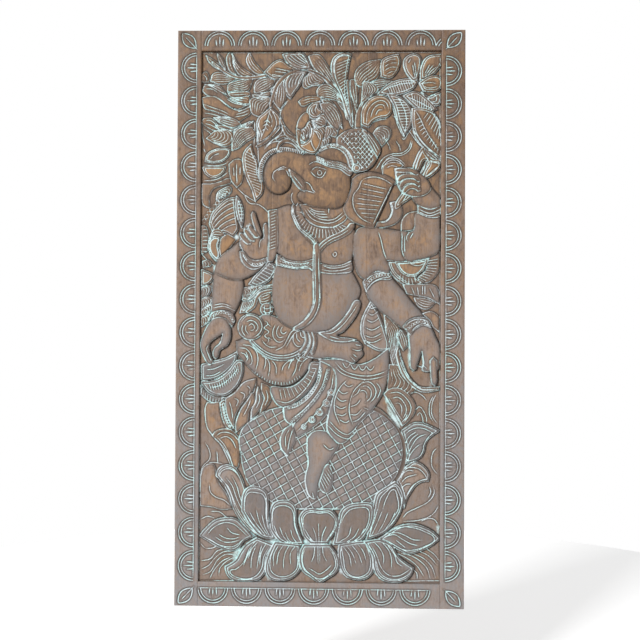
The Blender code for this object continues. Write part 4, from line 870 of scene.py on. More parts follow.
def left_side_leaves(art):
    art.form(LEAF, "214,131! 224,129 233,133 234,141 226,146 215,143 206,138!")
    art.form(PLAIN, "204.6,161.5! 207,154 214.7,149.3 223.5,148 230,149.3! 228.6,155.2 222.3,161 213.4,163!")
    art.inset(1.4)
    art.line("209,160 213,155.5 219,153.5", "201.5,164.5 213,165.5 223,164.3 228.6,160.5",
        "203,148 204.5,152")
    art.form(LEAF, "202,167! 225.5,167! 223.5,172 218.5,176.3 211,177.6 204.6,173.3!")
    art.inset(1.6)
    art.form(PLAIN, "201.5,184! 211,184 219.7,182 229,178.5 231,183! 224.8,185 217.2,186.9 212.2,190 209,197 "
        "209,208.4! 203,205 201.5,200!", "203,180.5 211,180.3 219,178 227.5,172")
    art.form(LEAF, "216,200! 217,193.5 222,189.5 229.5,187 231,192 226,196.5!")
    art.form(PLAIN,
        "229,164! 234.9,159.5 241,160 243,166 243,175.5 241.2,183 236.8,187.5! 231.5,181 229.5,173",
        "236.5,163 236.3,173 236.8,184", "233,167 233.8,176", "240,167 239.8,175")
    art.form(BLADE, "251,144! 254,153.9 258,163 258.5,173 263,182 262.6,193.2 255.5,201.5! 252,189.4 "
        "246.2,176.8 243.2,164 244,152.7")
    art.rungs("245.5,151 245,164 247.5,176 253,189", "255,157 257.5,168 261.5,181 260.5,194", 14)
    art.form(LEAF, "232,150! 232,140 238,129 252,127! 256,135 247,141 238,148")
    art.sweep(STEM, "257,146,1 266,141,1.3 274,133,1.3 279,127,1")
    art.line("236.8,188 243.7,194.5 254.5,201.5", "243.7,194.5 249,203 257.6,204.6 263.9,208.4 268.9,213.5")
    art.form(BLADE,
        "209,224! 212,214 219,206 227,199.5 235,197.5! 235.5,208 237,219 238,230 233,237.5! 224,233 214,233",
        "210.5,223 217,213.5 226,206 234.5,202.5", "211.5,226 218,217.5 227,210.5 235,207",
        "213,229 219.5,221.5 228,215.5 235.5,212.5")
    art.line("215.5,231 222,225 230,220.5 236,218.5", "220,232 226,228 232,225.5 237,225",
        "225,203 230,200.5 234.5,200")
    art.beads("203.5,221 207,215 211.5,209.5 216.5,203.5 221.5,198.5 227,194.5", 9, 1.4)
    art.form(BLADE, "236.5,196! 240.5,201 243.5,212 243.3,222 241.8,228.5! 238,219 235.8,208")
    art.rungs("237.5,201 237.5,210 240,222", "240.5,202 243,212 243,222", 7)
    art.form(LEAF, "201,226! 206,228 208,240 207,252! 201,255!")
    art.rungs("202,230 202,240 202,252", "206,230 207,241 206,252", 7)
    art.form(LEAF, "209,240! 213,231 219,230 225,236! 219,238 213,237")
    art.form(BLADE, "209,241! 214,237.5 219.5,239 218,246 219.5,256 217,262! 211,256 208,248")
    art.inset(1.3)
    art.form(LEAF, "221,239! 227,235.5 236,240! 230,248 221,258! 219.5,248", "201,255 206,260 212,266",
        "207,261 213,266", "211,257 216,263")
    art.form(LEAF, "202,262! 208,261 211,266 203,268!")
    art.form(BLADE, "201,270! 212,275 213,279 208,285 201,286.5!")
    art.forms(LEAF, "201,288! 210,287 211,291 207,297 201,299!", "201,300! 209,298 213,301 209,307 201,310!",
        "201,311! 212,305 212,311 205,317 201,317!", "201,319! 208,316 210,321 206,325 201,328!")


def waist_leaves(art):
    art.form(BLADE, "269,262! 276,267 275,274 269,282 258,287 249,285! 256,276 264,268")
    art.rungs("266,266 259,275 252,283", "275,269 270,280 258,286", 8)
    art.forms(LEAF, "243,289! 256,287 262,287 255,294 250,300 243,301!",
        "243,303! 251,302 256,298 255,305 249,312 240,314!", "259,298! 265,294 271,294! 271,302 262,305")
    art.sweep(STEM, "243,300.5,1.1 251,299,1.3 257,293,1.4 263,288.5,1.4 272,287,1.2")
    art.line("244,300.5 251,299 257,293 263,288.5 271,287")
    art.sweep(STEM, "247,313,.9 254,307,1.2 257,299,1.3 262,294,1.4 272,291.5,1.2")
    art.ball(BLADE, 267, 310.5, 6.2)
    art.line("262.5,308.5 267,310 272,308", "262.5,312 267,314 272.5,312", "265,306 264.5,311 266,316",
        "270,306 270.5,311 269,316")


def beside_the_ear(art):
    art.form(LEAF, "374,133! 378.5,127.5 385,126 391,129.5 390.5,137 382.5,146.5! 378,139",
        "411.8,139.5 409,148 402,153 392,154 384,158 378.5,166 375,171",
        "413,141 410.5,149 403,154.8 393,155.8 386,159.5")
    art.line("381.5,173 383.5,164 390,158.5 399,159 407,166",
        "383.2,173 385,165.3 391,160.3 398.5,160.8 405.5,167")
    art.line("384,137 389,144 391,150", "396,140 400,146 401,151")
    art.form(LEAF, "378,223! 388,220.5 392.5,212 391,203! 399,203 403,212 400,221 391,226.5 375,229.5!",
        "379,223 386,222.5 391,218 393.5,210 392,203")
    art.form(STEM, "402,232! 403,221 409,214 418.5,212! 416,226 413,231!")
    art.form(LEAF, "384,166! 391,163 398,163 403,166 397,171 397,184 391,182 384,177",
        "387,168 392,166 398,167")


def below_the_arm(art):
    art.form(LEAF, "428,259! 440,252! 440,270 433,281 424,284 418,280! 427,270")
    art.rungs("429,262 426,270 419,278", "439,260 437,272 427,282", 9)
    art.form(BLADE, "387,261.5! 400,262 412,261.5 430,259! 425,271 417,277.5 424,284 409,287 397,280 390,271",
        "391,263 393.5,270 398,276 404,281 409,284")
    art.form(BLADE, "396,263! 412,262.5 429,260! 424,270 417,276.5 409,277 402,273")
    art.inset(1.4)
    art.line("408,263 414,266 420,266.5 425,264")
    art.rungs("401,275 409,279 418,279", "400,282 409,286 420,283", 7)
    art.form(LEAF, "404,286! 420,285.5 436,287 440,296 440,305! 429,299 417,296.5 408,295!",
        "423,287 423,296", "425.5,287 425.5,296", "412,288 415,295", "430,289 435,299", "418,288 419,296")
    art.forms(LEAF, "415,299! 426,300 436,304! 430,309.5 424,310 418,306",
        "423,315! 431,313 437,315.5 440,319! 440,333! 434,328 431,322",
        "398,330! 404,333 408.5,340 408.5,347 404,352! 400,343")
    art.form(LEAF, "385,316! 392,321 400,329 399,336 401,356 407,372! 402,380 394,366 390,350 387,334",
        "397,334 399,345 401,356 405,368")
    art.form(BLADE, "372,302! 380,316 386,333 389,350 380,352 366,345! 362,335 363,320")
    for low in (309, 315.5, 322.5, 330.5, 338, 343):
        spread = 4 + (low - 309) * 0.15
        art.line(f"{373 - spread},{low - 1.5} {373},{low + 0.8} {374 + spread},{low - 3.5}")


def lower_right_leaves(art):
    art.form(LEAF, "390,366! 402,368 408,378 417,388 410,397 398,399 388,392!")
    art.form(BLADE, "399,344! 400.5,356 405,369 411,379 421,388.5 440,388.5! 440,391.5! 430,393.5 420,392.5 "
        "408,382.5 401,370 397,356!",
        "398.8,348 401.5,361 406.5,373.5 413,383.5 422,390.5 431,391.7 439.5,390.3")
    art.form(PLAIN, "384.7,395.6! 390,391 400,390 410,397 415.5,405 416,413 411,421 403,427.8!",
        "386,397 403,426.5", "389,395 399,394 407,400 411.5,408 410,416 404,424.5",
        "392,400 399,399 405,405 407,412 404,420")
    art.line("395,405 400,405 402.5,411 401.5,417", "389,399.5 397,413 403.5,423",
        "408,415.5 406,420 402.5,424", "410,395 417,394 424,398 427,402")
    art.line("416.5,412 420,408.5 424.3,413 427.2,420 427.2,424.5", "417.6,418 420.5,414.5 423,419 424,425")
    art.line("437,395.6 433,404.3 432.6,416.5 438,425.6", "434.5,397 430.5,405 430.2,416 434,424")
    art.form(BLADE, "402.1,432.4! 408,428.5 413.7,424.7 421.5,424.2 429.2,426.6 441,432.4! 435,436.3 "
        "429.2,441.1 426.3,447 425.3,452.7 421.4,459.5 413.7,463.3 405.9,465.3! 407.9,456.6 406.5,447.9 "
        "404,438.2", "404,438.2 409.8,432.4 417.6,429.5 425.3,430.5 433,434.3! 428.2,440.1 424.3,447 "
        "423.4,452.7 419.5,458.5 413,462")
    art.line("406,445 409.8,438.2 416.6,433.4", "427.2,435.5 418.5,439.2 412.7,447 409,455",
        "422.4,445 416.6,448.8 411.8,454.6 407,464")
    art.line("418.5,435.5 412,441 408,449", "438.8,448.8 434,453.7 432.1,461.4 433,469.1 438.4,476.4")
    art.form(BLADE, "404,470.1! 408.8,467 413.7,463.8 419.5,464.3 426.3,469.1 430.3,476 429.2,483! "
        "422.4,483.8 416.6,487.5 411.8,494.3 407.9,501.1 405,509.8! 404,499.1 401.1,489.4 397.2,481.7!",
        "401.5,474 405.5,470 413.7,469.1 420.4,471.1 425.3,476 427.7,480.3! 421.4,482.2 413.7,487 408.8,494 "
        "406,501")
    art.line("401.1,481.7 404,475 408.8,472 414,472.5", "401.5,485 407,479 417.6,476",
        "402.5,489 407,485.8 411.5,485.5")
    art.line("433,486.5 435,493.3 433,499.1 427.2,504.9 417.6,509.8 408,514.6 403,520.4",
        "430,488 431.5,494 429,499.5")
    art.line("439,507.8 435,514.6 428.2,519.4 418.5,522.3 404,523.3",
        "421.4,523.3 429.2,520.4 435,521.4 438.8,526.2")
    art.line("395,553.8 407.5,560 417.5,567.5 425,578.8", "412.5,555 423.8,560 432.5,568.8 436.3,580",
        "426.3,550 435,556.3 440,563")
    art.line("413.8,571.3 417.5,575 418,581", "401,555 414,558.5 427,569 431,581",
        "418,552.5 429,557.5 438,567")


def lower_left_leaves(art):
    art.form(BLADE, "201,366! 212,363 226,359 237,353! 236,362 229,371 218,379 208,381.5 201,381.5!",
        "206,371 214,370 225,365", "205,377 213,376.5 221,372.5")
    art.form(BLADE, "201,382.5! 209,382.7 219,379.7 229,371.7 237,362 243,362! 243,374 240,383 235,390 "
        "226,396.5 217,397 208,393 201,384.5!")
    art.rungs("209,385.5 218,383.5 228,376.5 237,365.5", "211,391.5 219,391 229,385 239,374", 15)
    art.line("210,388.5 218.5,387.3 228.5,380.7 238,369.7")
    art.form(LEAF, "200,386! 206,394 216,399 225,399! 220,404 210,403 203,398 200,395!")
    art.rungs("201,389 207,395.5 214,399.5 222,400", "201,395 206,401 213,403.5 221,402.5", 9)
    art.form(PLAIN, "207,404! 213,404.5 219,404 219.5,410 220.8,416.5 224.7,427 230,430.5! 222,431 "
        "212.5,437! 207,429 205,417 205,409")
    art.form(BLADE, "220,404! 225,402 226,412 228.5,421 234,430! 228,430 223,421 221,412")
    art.rungs("221,406 222.5,414 228,427", "224.5,404.5 226.5,414 232,427", 9)
    art.form(PLAIN, "225.5,400! 235,394 244,384 256,380! 256,386 250.7,394.3 239,408.7 233.8,421.7 234,430! "
        "228.5,420 226,410", "256.5,383 252.5,395.5 241,410 236,422.5", "229,403 231.5,411 232.5,420",
        "234,399.5 238,402 236,408", "240,393.5 244.5,396 242.5,402", "247,387 250,390 249,395")
    art.forms(PLAIN, "252,394! 255,399 254.6,405 249,412.5 248,424! 243,428 236,434! 236,424 241,411 248,401",
        "258,388! 261,395 263.5,401 261,409 256,416 251,421! 252,411 256,403 256.5,396")
    art.form(PLAIN, "262,384.5! 270,389 272,398 268,407 260,416.5! 262,408 264.5,400 262,392",
        "251,400 248,408 243.5,417", "259,395 259.5,402 256,410", "266,391 268,399 264.5,408")
    art.form(LEAF, "212,437! 216,432.5 223,430.5 231,431.5 239,439! 240,450 238,468 234,470! 229,458 222,447",
        "215,438 221,434 228,434 234,437 238,442", "219,440 226,438 232,442 236,450",
        "213,439 220,446 226,457 230,466")
    art.line("217,439 223,445 229,456 232,466")
    art.line("204.5,444 208.5,451 209.3,460 202.4,467.5 199.5,475", "216.3,452.5 217.3,464",
        "207.7,464.2 214,464 222.7,465.5")
    art.form(PLAIN, "200,478! 204,468 213,466 216,477 219,485 226,495 232,510! 222,511 212,508.5 200,507!",
        "208.8,485.5 209.9,493 215.2,498.3 223.7,501.5 230.2,507", "210,513 219,513.5 226,519",
        "200.3,520.7 206.7,518 214.1,519.6")
    art.form(BLADE, "216,477! 218,471 223,467 229,466.5 236,470 242,480 247,494! 247,510 252,522 262,533 "
        "255,537! 243,525 234,511 229,496 223,485", "219,477 222,472 229,470 236,474 241,482",
        "221,481 228,488 233,500 238,511 246,523 256,533")
    art.line("226,479 232,487 236,498 241,509 248,520 258,531", "232,478 237,488 240,499 245,509")
    art.line("200.3,562.3 209.9,560.2 216.3,552.7 222.7,551.1",
        "202.4,576.2 209.9,573 217.3,561.3 225.9,555.9 237.6,557")
    art.line("218.4,577.3 219.5,569.8 227,562.3 236.6,558.1", "200,571 208,567 215,559 223,553.5 232,553",
        "224.8,568.5 230.2,581")
    art.line("199.5,544.2 204.5,549.5 212,549.5 216.3,547.5", "209,580.5 214,571 222,562.5 231,558.5")


def seed_pod(art):
    art.form(RIM, "300,404! 340,400! 378,409.5 386,415.5 394,424 401,433 405.3,443 406.8,455 405.8,466 "
        "399.5,480 388,492 375,504 362,511! 300,511!")
    art.form(POD, "239,440! 243,430 253,421 265,413 280,409! 340,402! 376,413 388,421 398,433 402.5,448 "
        "402,462 396,478 385,491 373,503 360,510! 284,510! 266,499 250,486 243.5,470 240.5,452")
    art.lattice((-0.60, 601, 9.2), (1.9, -86, 20))


def upper_petals(art):
    for outline, *lines in (
        ("242,512! 243,497 248,489 258,488 267,494 269,506 270,526 277,541! 262,538 251,527",
         "245,513 245,501 249,494 257,494 263,496 266,503 266,515 268,530", "244,512 252,524 262,535",
         "249,512 256,524 266,537", "256,509 260,524 269,538", "262,515 265,528 271,539"),
        ("375,503! 378,495 387,488.5 396,483! 402,489 405,499 403,510 396,524 384,535 367,541! 372,522",
         "378,514 381,500 386,494 395,487.5 399,493 402,502 400,513 392,525 383,534",
         "383,512 387,500 394,491 398,499 399,510 394,519", "372,537 378,524 383,512",
         "378,535 384,525 389,513", "370,533 375,522 378,510", "385,532 392,522 396,513"),
        ("270,522! 271,511 275,504 284,501.5 292,503.5 297,511 297.5,526 305,546! 283,544 272,532",
         "273,522 273,513 277,508 285,507 291,509.5 294,515 295,527 300,541", "274,526 279,538 287,544",
         "280,528 284,538 291,545", "285,532 289,541 294,545", "291,530 293,538 298,545"),
        ("339,523! 342,512 349,506.5 359,504.5 370,504.5 374,508 374,520 369,533 360,543 334,546!",
         "342,524 345,517 351,511 360,509 368,510 370,517 367,529 359,539", "340,543 349,537 352,527",
         "346,544 355,538 360,529", "352,544 360,538 365,530"),
        ("301,527! 300,519 304,512.5 311,510 320,511 330,510.5 336,515 339.5,523 337,532 328,545! 311,545! "
         "304,537", "304,526 303.5,520 307,515 313,513.5 320,514.5 328,514 333,517.5 336,523 334,531 326,543",
         "308,536 315,544", "313,528 316,536 317,544", "319,524 319.5,544", "327,527 323,536 322,544",
         "305,530 312,542"),
    ):
        art.form(PETAL, outline, *lines)
    art.form(PETAL,
        "199,537! 206,529 215,521.5 226,519 236,520 244,527 254,538! 245,542 239,549 231,552 220,549 209,543",
        "206,537 213,529 223,524 233,525 241,531 248,538", "209,540 219,546 231,548 238,545 244,540")
    art.line("218,535 225,539 233,540 240,538", "227,529 232,534 240,536", "215,538 224,543 233,543 240,541")
    art.form(PETAL, "379,541! 389,534 400,527.5 413,525.5 424,528 433,532.5 441.5,540! 433,547 422,552.5 "
        "410,555.5 399,551 389,545",
        "382,540 392,532 403,528.5 413,529 424,532.5 435,540.5 425,548 413,551.5 404,551 394,546 382,541")
    art.line("389,535 398,534 406,537 414,541 424,541.5", "386,538 395,536 402,540 411,545 419,547",
        "396,541 401,545 406,549")


def lower_petals(art):
    for outline, *lines in (
        ("257,539! 246,546 240,554 236,561 225,568! 228,577 236,582 250,582.5 260,580 266,572 268,558 "
         "275,546!",
         "255,543 249,551 244,563 236,570 230,572 234,577 246,580 256,577 262,569 264,558 270,547",
         "252,548 247,558 243,568", "256,547 252,558 251,570", "262,546 259,558 257,570",
         "258,543 252,550 248,560", "266,545 261,555 260,566"),
        ("275,543! 301,546! 300,556 302,568 295,578 283,582 271,580 266,572 268,558",
         "276,546 271,558 271,571 278,577 288,577 297,570 298,557 299,549", "284,546 279,554 277,566",
         "290,546 286,553 284,561 284,570", "296,547 291,554 291,566", "279,546 274,556 274,568"),
        ("372,542! 358,543! 340,546! 339,556 341,568 346,577 356,581 367,580 374,573 375,560",
         "342,548 344,560 346,571 352,577 361,578 369,573 371,562 368,550", "347,547 353,555 357,566",
         "344,548 350,557 352,568", "352,546 359,555 363,566", "358,545 364,553 367,563"),
        ("365,543! 380,540.5! 392,546 399,557 407,564 415,569! 411,578 403,583 390,583.5 380,579 375,570 "
         "373,557", "367,545 373,553 377,564 380,573 387,579 398,580.5 407,577 413,571",
         "371,545 377,556 382,569 389,576 399,577 407,573 412,569", "374,543 380,549 384,557 384,566",
         "382,543 389,551 392,560 392,570", "388,546 395,556 398,564 404,568"),
        ("304,546! 331,546! 338,556 340,566 337,574 330,579 320,585! 311,578 303,572 300,562 301,552",
         "306,549 303,557 303.5,566 308,573 320,580 331,574.5 336,567 334.5,557 329,549",
         "318.5,547 318.5,566", "320.3,547 320.3,564", "315,548 314.5,556 312,563",
         "323,548 324,556 327.5,563", "309,569 314,572 320,575 327,571 332,566"),
    ):
        art.form(PETAL_FRONT, outline, *lines)


def cloth_and_legs(art):
    art.form(ARM, "236,343! 238,355 244.6,363.6 257.8,376.8 272.2,385.2 289,386.4 299.8,380.4 308.2,370.8 "
        "313,360! 313,350 300,340 260,335", "239.5,349 246,350 251,356 252,364 249,367",
        "243,346 251,347.5 257,354 258,363 256,371", "241,354 245,355.5 247.5,360")
    art.line("262,357 268,361 270,368 268.5,378", "272,361.5 276,367 276.5,376",
        "310,352 303,356.5 298,363 296,371 292,379")
    art.line("312,357 305,361.5 301,367 299,374", "304,351.5 296,358 291,364 288.5,371",
        "296,361 289,362.5 284,367 282,373")
    art.line("255,350 263,355 266,362 264,372", "246,353 248,359 246,363")
    art.rungs("256,372.5 264,378.5 273,382 281,383.3 290,382.4 299,376",
        "254.5,375 263,381.3 272,385 281,386.3 290.5,385.2 300.5,379.3", 18)
    art.form(BAND, "271,394! 272,388 283,389 294,387.5 303,381 309,373 312,364 321,364! 318,377 310,391 "
        "297,403 286,408.5 277,405")
    art.rungs("280,390 296,388 308,377 313,366", "282,401 298,396 312,381 319,366", 13)
    art.line("277,402 287,404 298,398 309,386 317,370")
    art.form(BAND, "329,364! 337,368 338,383 333,398 330,410 323,421 312,430 301,437 295,438.5 292.5,430 "
        "304,414 317,400 326,386", "334,374 332,388 326,402 318,413 307,424 297,433")
    for x, y, radius in ((305, 428, 2.4), (313, 421, 3.0), (320.5, 413.5, 3.4),
                         (327.5, 404.5, 3.6), (332, 394, 3.2)):
        art.ball(BAND, x, y, radius)
        art.inset(1.3)
    art.form(BAND, "284,409! 297,404.5 308,396 316,385 320,372 321,363! 330.5,363! 329.5,376 325,388 317,401 "
        "305,414 293,425 286,421", "286,411 298,407.5 310,398.5 318.5,386 322.5,372",
        "290,422 303,412 315,399 323,386 327.5,370")
    art.beads("289,409.5 299,405.5 309,397.5 317,385.5 321,370", 22, 0.7)
    art.beads("292,423 304,413 316,400 324,386 328.5,371", 22, 0.7)
    art.form(BAND, "292,426! 285,431 281,440 282,450 288,457! 292,450 296,440", "290,430 286,438 286,448",
        "293,431 290,441 288,452")
    art.form(LEG, "308,440! 313,434 320,432 328,434 338,444 339,448 333,458 326,469 321,479 318,492 316,500 "
        "310,497 307,489 306,479 309,465 308,453", "313,494 314,499", "324,446 330,451 335,449")
    art.form(BAND, "322,478! 328,466 332,470 333,486 330,493 325,494 320,487")
    art.rungs("321,482 326,472 330,468", "326,493 331,484 333,474", 7)
    art.form(CLOTH, "319,361! 340,361 360,366 374,361 389,350! 389.5,366 386.5,387 379,403 368,417 358,427 "
        "349,441 341,445 334,440 328,431 329,418 333,402 337,385 334,370",
        "335.5,363.5 343.5,371.5 353.5,375.7 368,377.5 381,375 388.5,371.5",
        "336,368.5 342,374.3 353.5,378.9 368,380.8 381,378.6 388.5,375.7")
    art.line("343,364 347,369 351,364.5", "351,365.5 355,370.5 359,366", "359,366.5 363,371.5 367,367",
        "367,367.5 371,371.5 375,367")
    art.line("348,381 340.6,388.8 335.5,400.4 335,412 340.6,426.5",
        "365,382 355,391.7 350.5,403 350,415 353.6,427")
    art.line("338.5,391 343.5,395 349,393.5", "336.5,398 342,402.5 348,401.5", "336,407 341.5,410 347,408",
        "337,415.5 343,417 347.5,414.5")
    art.line("344.5,385 349,388 353.5,386.5", "352.5,398.5 358,394.5 360.5,390", "351,408 357,406 361,401",
        "351,416 357,416 362.5,410.5")
    art.line("362,384.5 370,383.5 376,390 375.5,398 369,405.5",
        "361,388.5 367,387.5 371.5,392 371,399 366,404", "360.5,392.5 364.5,392 367.5,395.5 367,400")
    art.line("353,423.5 359,421 366,413.5", "364,409 369,411", "377,384 381,391 378,400",
        "340,421 346,424 350,422")
    art.line("328.5,427 337.5,436 347.5,440.3 353,437.5 358.5,431",
        "330,422.5 338.5,431.5 347,436 352.5,433.5 358.5,426.5")
    art.form(LEG, "304,332! 318,334 335,340 351,342 359,343! 363,347 362.5,351 364,355.5 360,360 354,364.5 "
        "347,362 339,360 329,359 318,360 306,357!", "353,355 358,359", "352,350 358,352 362,351",
        "356,346 361,347", "351,358 356,363")
    art.form(LEG, "249,340! 256,349.5 266,357.5 279,361.5 292,360.5 303,354.5 309.5,345 312.5,334! 301,326 "
        "281.8,320 264,316 255,325",
        "250.6,339.6 258.5,347.5 268.6,354.2 279.4,356.8 291.4,355.5 300.5,350.5 306,343 308.5,334.5",
        "252,343.5 260,351.5 269,357 279.5,359.2 292,358 302,352.5 308,344")
    art.line("301,329.5 292.5,332.4 287.5,340.8 283.5,347.5 275,352", "303,331 295.5,334 290,342 286,349")
    art.line("275.8,325.4 273,333 274.5,340 280,343.5 286,340", "279.4,326.5 276.8,333 279,338.5 284,338",
        "283,327.5 281,332 283.5,335 287,333")
    art.line("294,335 293.5,342 297.5,347.5 303,347", "297,334 297.5,340 301,343.5",
        "300.5,333 302,338 305.5,339", "267,324 271,328", "268,338 272,341")
    art.line("264,321 268,325 264.5,329 269,333 265,337 269,341 266,345.5",
        "262,341 266,346 271,348.5 277,348")
    art.ball(BLADE, 251, 328, 13)
    art.line("241,323 246,317.5 253,317 259.5,321 262,328 259,335 253,339",
        "246.5,323 251,321.5 256,324 258,329 255,333.5",
        "248.5,327 251.5,325 254.5,328 252.5,331.5 249.5,331")
    art.line("242.5,326 242,332 245.5,337.5", "246,326.5 245.5,331 248.5,335.5")
    art.sweep(BAND, "304.5,330,1.4 307,336,1.5 307.5,343,1.5 304,350,1.4 300,355,1.2",
        "309.5,332,1.4 312,338,1.5 312,345,1.5 309,352,1.4 305,358,1.2",
        "313.5,333,1.2 315.5,339,1.3 315.5,346,1.3 313,354,1.2")
    art.line("296,357 298,361 303,362.5 307,359", "298,356 301,359 305,357")


def arms_and_body(art):
    art.form(ARM, "214,274! 222,271 236,276 243,282 242,296 237,309 230,318 214,318 212,305 213,288",
        "214,306 223,305 232,308", "213,309 224,307.5 235,312")
    art.form(BAND, "209,321! 212,314.5 221,311.5 230,313.5 235,320 232,328! 226,320.5 219,318.5 213,320")
    art.beads("212,318 217,314.5 223,313.5 229,316 233,322", 9, 0.9)
    art.form(HAND, "213,320! 219,318.5 226,321 230.5,330 230.5,340 227,347 220,351.5 218,358 215,359.5 "
        "213,354 215,349 220,344.5 223,334.5! 211,343 209,348 211,358 213,363 209.5,365.5 205,360 201,351 "
        "200,345 204,334 208,326", "206,350 209,358 211,362", "208,346 206,350")
    art.form(ARM, "244,262! 251,268 260,267 269,260! 263,268 253,275.5 241,280.5 229,279.5 214,273.5! "
        "216,265 221,257 230,250 239,243!")
    art.form(HAND,
        "243,252! 240,243 243,236 250,228 258,233 263,240 264,226 266.5,224 269,228 269,262 258,262 248,260",
        "263,238 260,243 259.5,249")
    art.sweep(FINGER, "260,236,2.2 257,227,2.4 254.5,219,2.3 253.5,214,1.8",
        "250,227.5,1.8 254,233,2.1 257,237,1.8", "245.5,231,1.8 249.5,236.5,2.1 253,240.5,1.8",
        "241,235,1.8 245,240,2.1 249,243.5,1.8")
    art.form(BAND, "240,252! 244,253 249,259 256,261.5 267,259! 262,267 254,270 247,267.5 242,261")
    art.beads("244,257 249,263 256,265.5 264,263", 10, 0.8)
    art.line("242,253 246,261 252,266.5 259,267 264,264")
    art.form(BELLY, "277,266! 284,268 296,270 310,269 331,274 352,272! 357,281 361,292 357,303 349,314 "
        "341,323 332,330 320,333 306,332.5 292,329 280,321 274,308 272.5,293 274,277")
    art.form(CHEST, "276,210! 293,207 300,229 316,243 317,262 303,263.5 289,261.5 278,254!")
    art.form(CHEST, "320,252! 332,241 352,229 356,234 355.5,247 352,262! 343,266 331,266.5 320.5,264!",
        "334,253.6 336.5,253.6 336.8,256 335.2,257.4 333.5,256 334,253.6")
    art.form(BAND, "277,255! 288,261 302,263 314,260! 313.5,271 310,269 296,269.5 277,265.5!")
    art.beads("281,261.5 290,265 301,266 312,265", 11, 0.8)
    art.line("278,257.5 288,262.8 302,264.6 313,262.5", "278,264 292,267.8 302,268 311,267.5")
    art.form(BAND, "320.5,264! 331,267 343,266 352,262! 352.5,271.5 343,274 331,274.5 320.5,273!",
        "322,266 331,269 343,268 352,264.5", "322,270.5 331,272 343,271 352,268")
    art.form(BAND, "269,211! 277,210! 277.5,250 273,262 268,262! 269.5,240")
    art.rungs("270.5,214 270.5,232 270,250", "276,212 276,230 276,248", 13)
    art.form(CHEST,
        "293,206! 303,206 310,219 320,226 332,228 343,223 348,215 356,224 340,238 318,246 303,234 293,216!",
        "296,212 303,214 309,222.5 317,226.8 326,228.5 336,227.5 346,220")
    art.rungs("299,216 306,222 316,228 328,230 342,226", "294.5,219 301,230 313,239 329,238 347,228", 18)
    art.form(STEM, "300,205! 348,205 347,219 336,226.5 325,227.5 315,225.5 306,219!",
        "309,208 316,211.5 326,212.5", "310,210.5 317,214 328,215", "313,214 321,217.5 330,217.5",
        "329,209 329,214")
    art.sweep(CORD, "294,206,1 294,214,1.3 296.5,221,1.4 301,229,1.5 308,235,1.5 314,240,1.5 318,246,1.5")
    art.line("294,207 294,214 296.5,221 301,229 308,235 314,240 317,245")
    art.sweep(CORD, "353,226,2.6 349,231,2.8 341,236,2.8 332,240,2.7 324,245.5,2.5 319,252,2.4")
    art.line("350,230 341,236 332,240 324,245.5 319,251")
    art.sweep(CORD,
        "317,246,2.2 317.3,256,3.2 317.3,275,3.5 317.8,292,3.4 317,306,3.2 312,317,3 305,325,2.6 296,330,1.8")
    art.line("315.6,250 315.4,270 315.8,290 315,305 310,316 303,324",
        "319,254 319.2,272 319.8,292 319,307 314,319 306,327")
    art.line("304.5,209 312,219 324,223.5 335,222.5 345.5,215", "307,209 315,217 325,220.5 335,219.5 343,213")
    art.form(BAND, "319,334! 331,331.5 341,323.5 350,312 356,302 361,303 359,313 352,324 344,333 338,337 "
        "349,339.5 357,341! 345,343 331,341", "324,335 333,334 343,326.5 352,315 358,306",
        "330,337.5 340,340.5")
    art.form(ARM_FRONT, "365,284! 374,275.5 388,272.5 394,281 403,291 413,304 422,314 424,322 414,328 "
        "406,331 392,321 378,309.5 369,299")
    art.form(BAND, "364,283! 370,276 379,272.5 389,272.5! 392,279.5 381,280.5 373,284.5 367,292!")
    art.beads("367,286 373,279.5 381,276.3 390,276", 10, 1.0)
    art.line("365,284 371,277.5 379,274.3 389,274.3", "367.5,290 374,283 382,279.3 391,278.3")
    art.form(ARM_FRONT,
        "355,236! 360,229 374,228.5 402,232! 403,246 407,260.5 387,261! 390,272 376,272 364,280 355,262",
        "379,233 381.5,241 384,252 387,260")
    art.form(ARM_FRONT, "402,232! 414,231.5 418,213 440,213! 440,251 431,257.5 420,260.3 407,260.8",
        "403,234 402.5,243 402.5,252 405,259.5", "405.5,236 405,245 405.5,254", "410,233 407,238 408,243",
        "413.5,234 410.5,239.5")
    art.form(BAND, "419,203! 430,207 441,203! 441,216 430,218 419,213.5!", "419.5,206.5 430,210.3 441,206.5",
        "419.5,210 430,214 441,210", "419.5,212.5 430,216.5 441,213")
    art.beads("421,205.8 430,208.8 439,206", 7, 0.8)
    art.form(HAND, "409,333! 416,330 424,326 431,328 436,338 440.5,348 440.5,368 437,372 424,372 424.5,364 "
        "422.5,352! 418,366 416,371.5 411.5,369 411,352")
    art.sweep(FINGER, "434,362,3.2 434.5,374,3.1 435,382,2.8 435.3,385.5,1.8")
    art.line("424,367 427,370", "417,367 423,369")
    art.form(BAND, "404,328! 410,321.5 420,318.5 429,321 432,329! 424,326.5 417,329.5 411,336!")
    art.beads("408.5,330 414,325.5 421,322.8 430,325.5", 9, 0.9)
    art.line("406,327.5 411,322.8 420,320.3 429,322.8", "411,334 417,327.8 424,325 431,327.5")


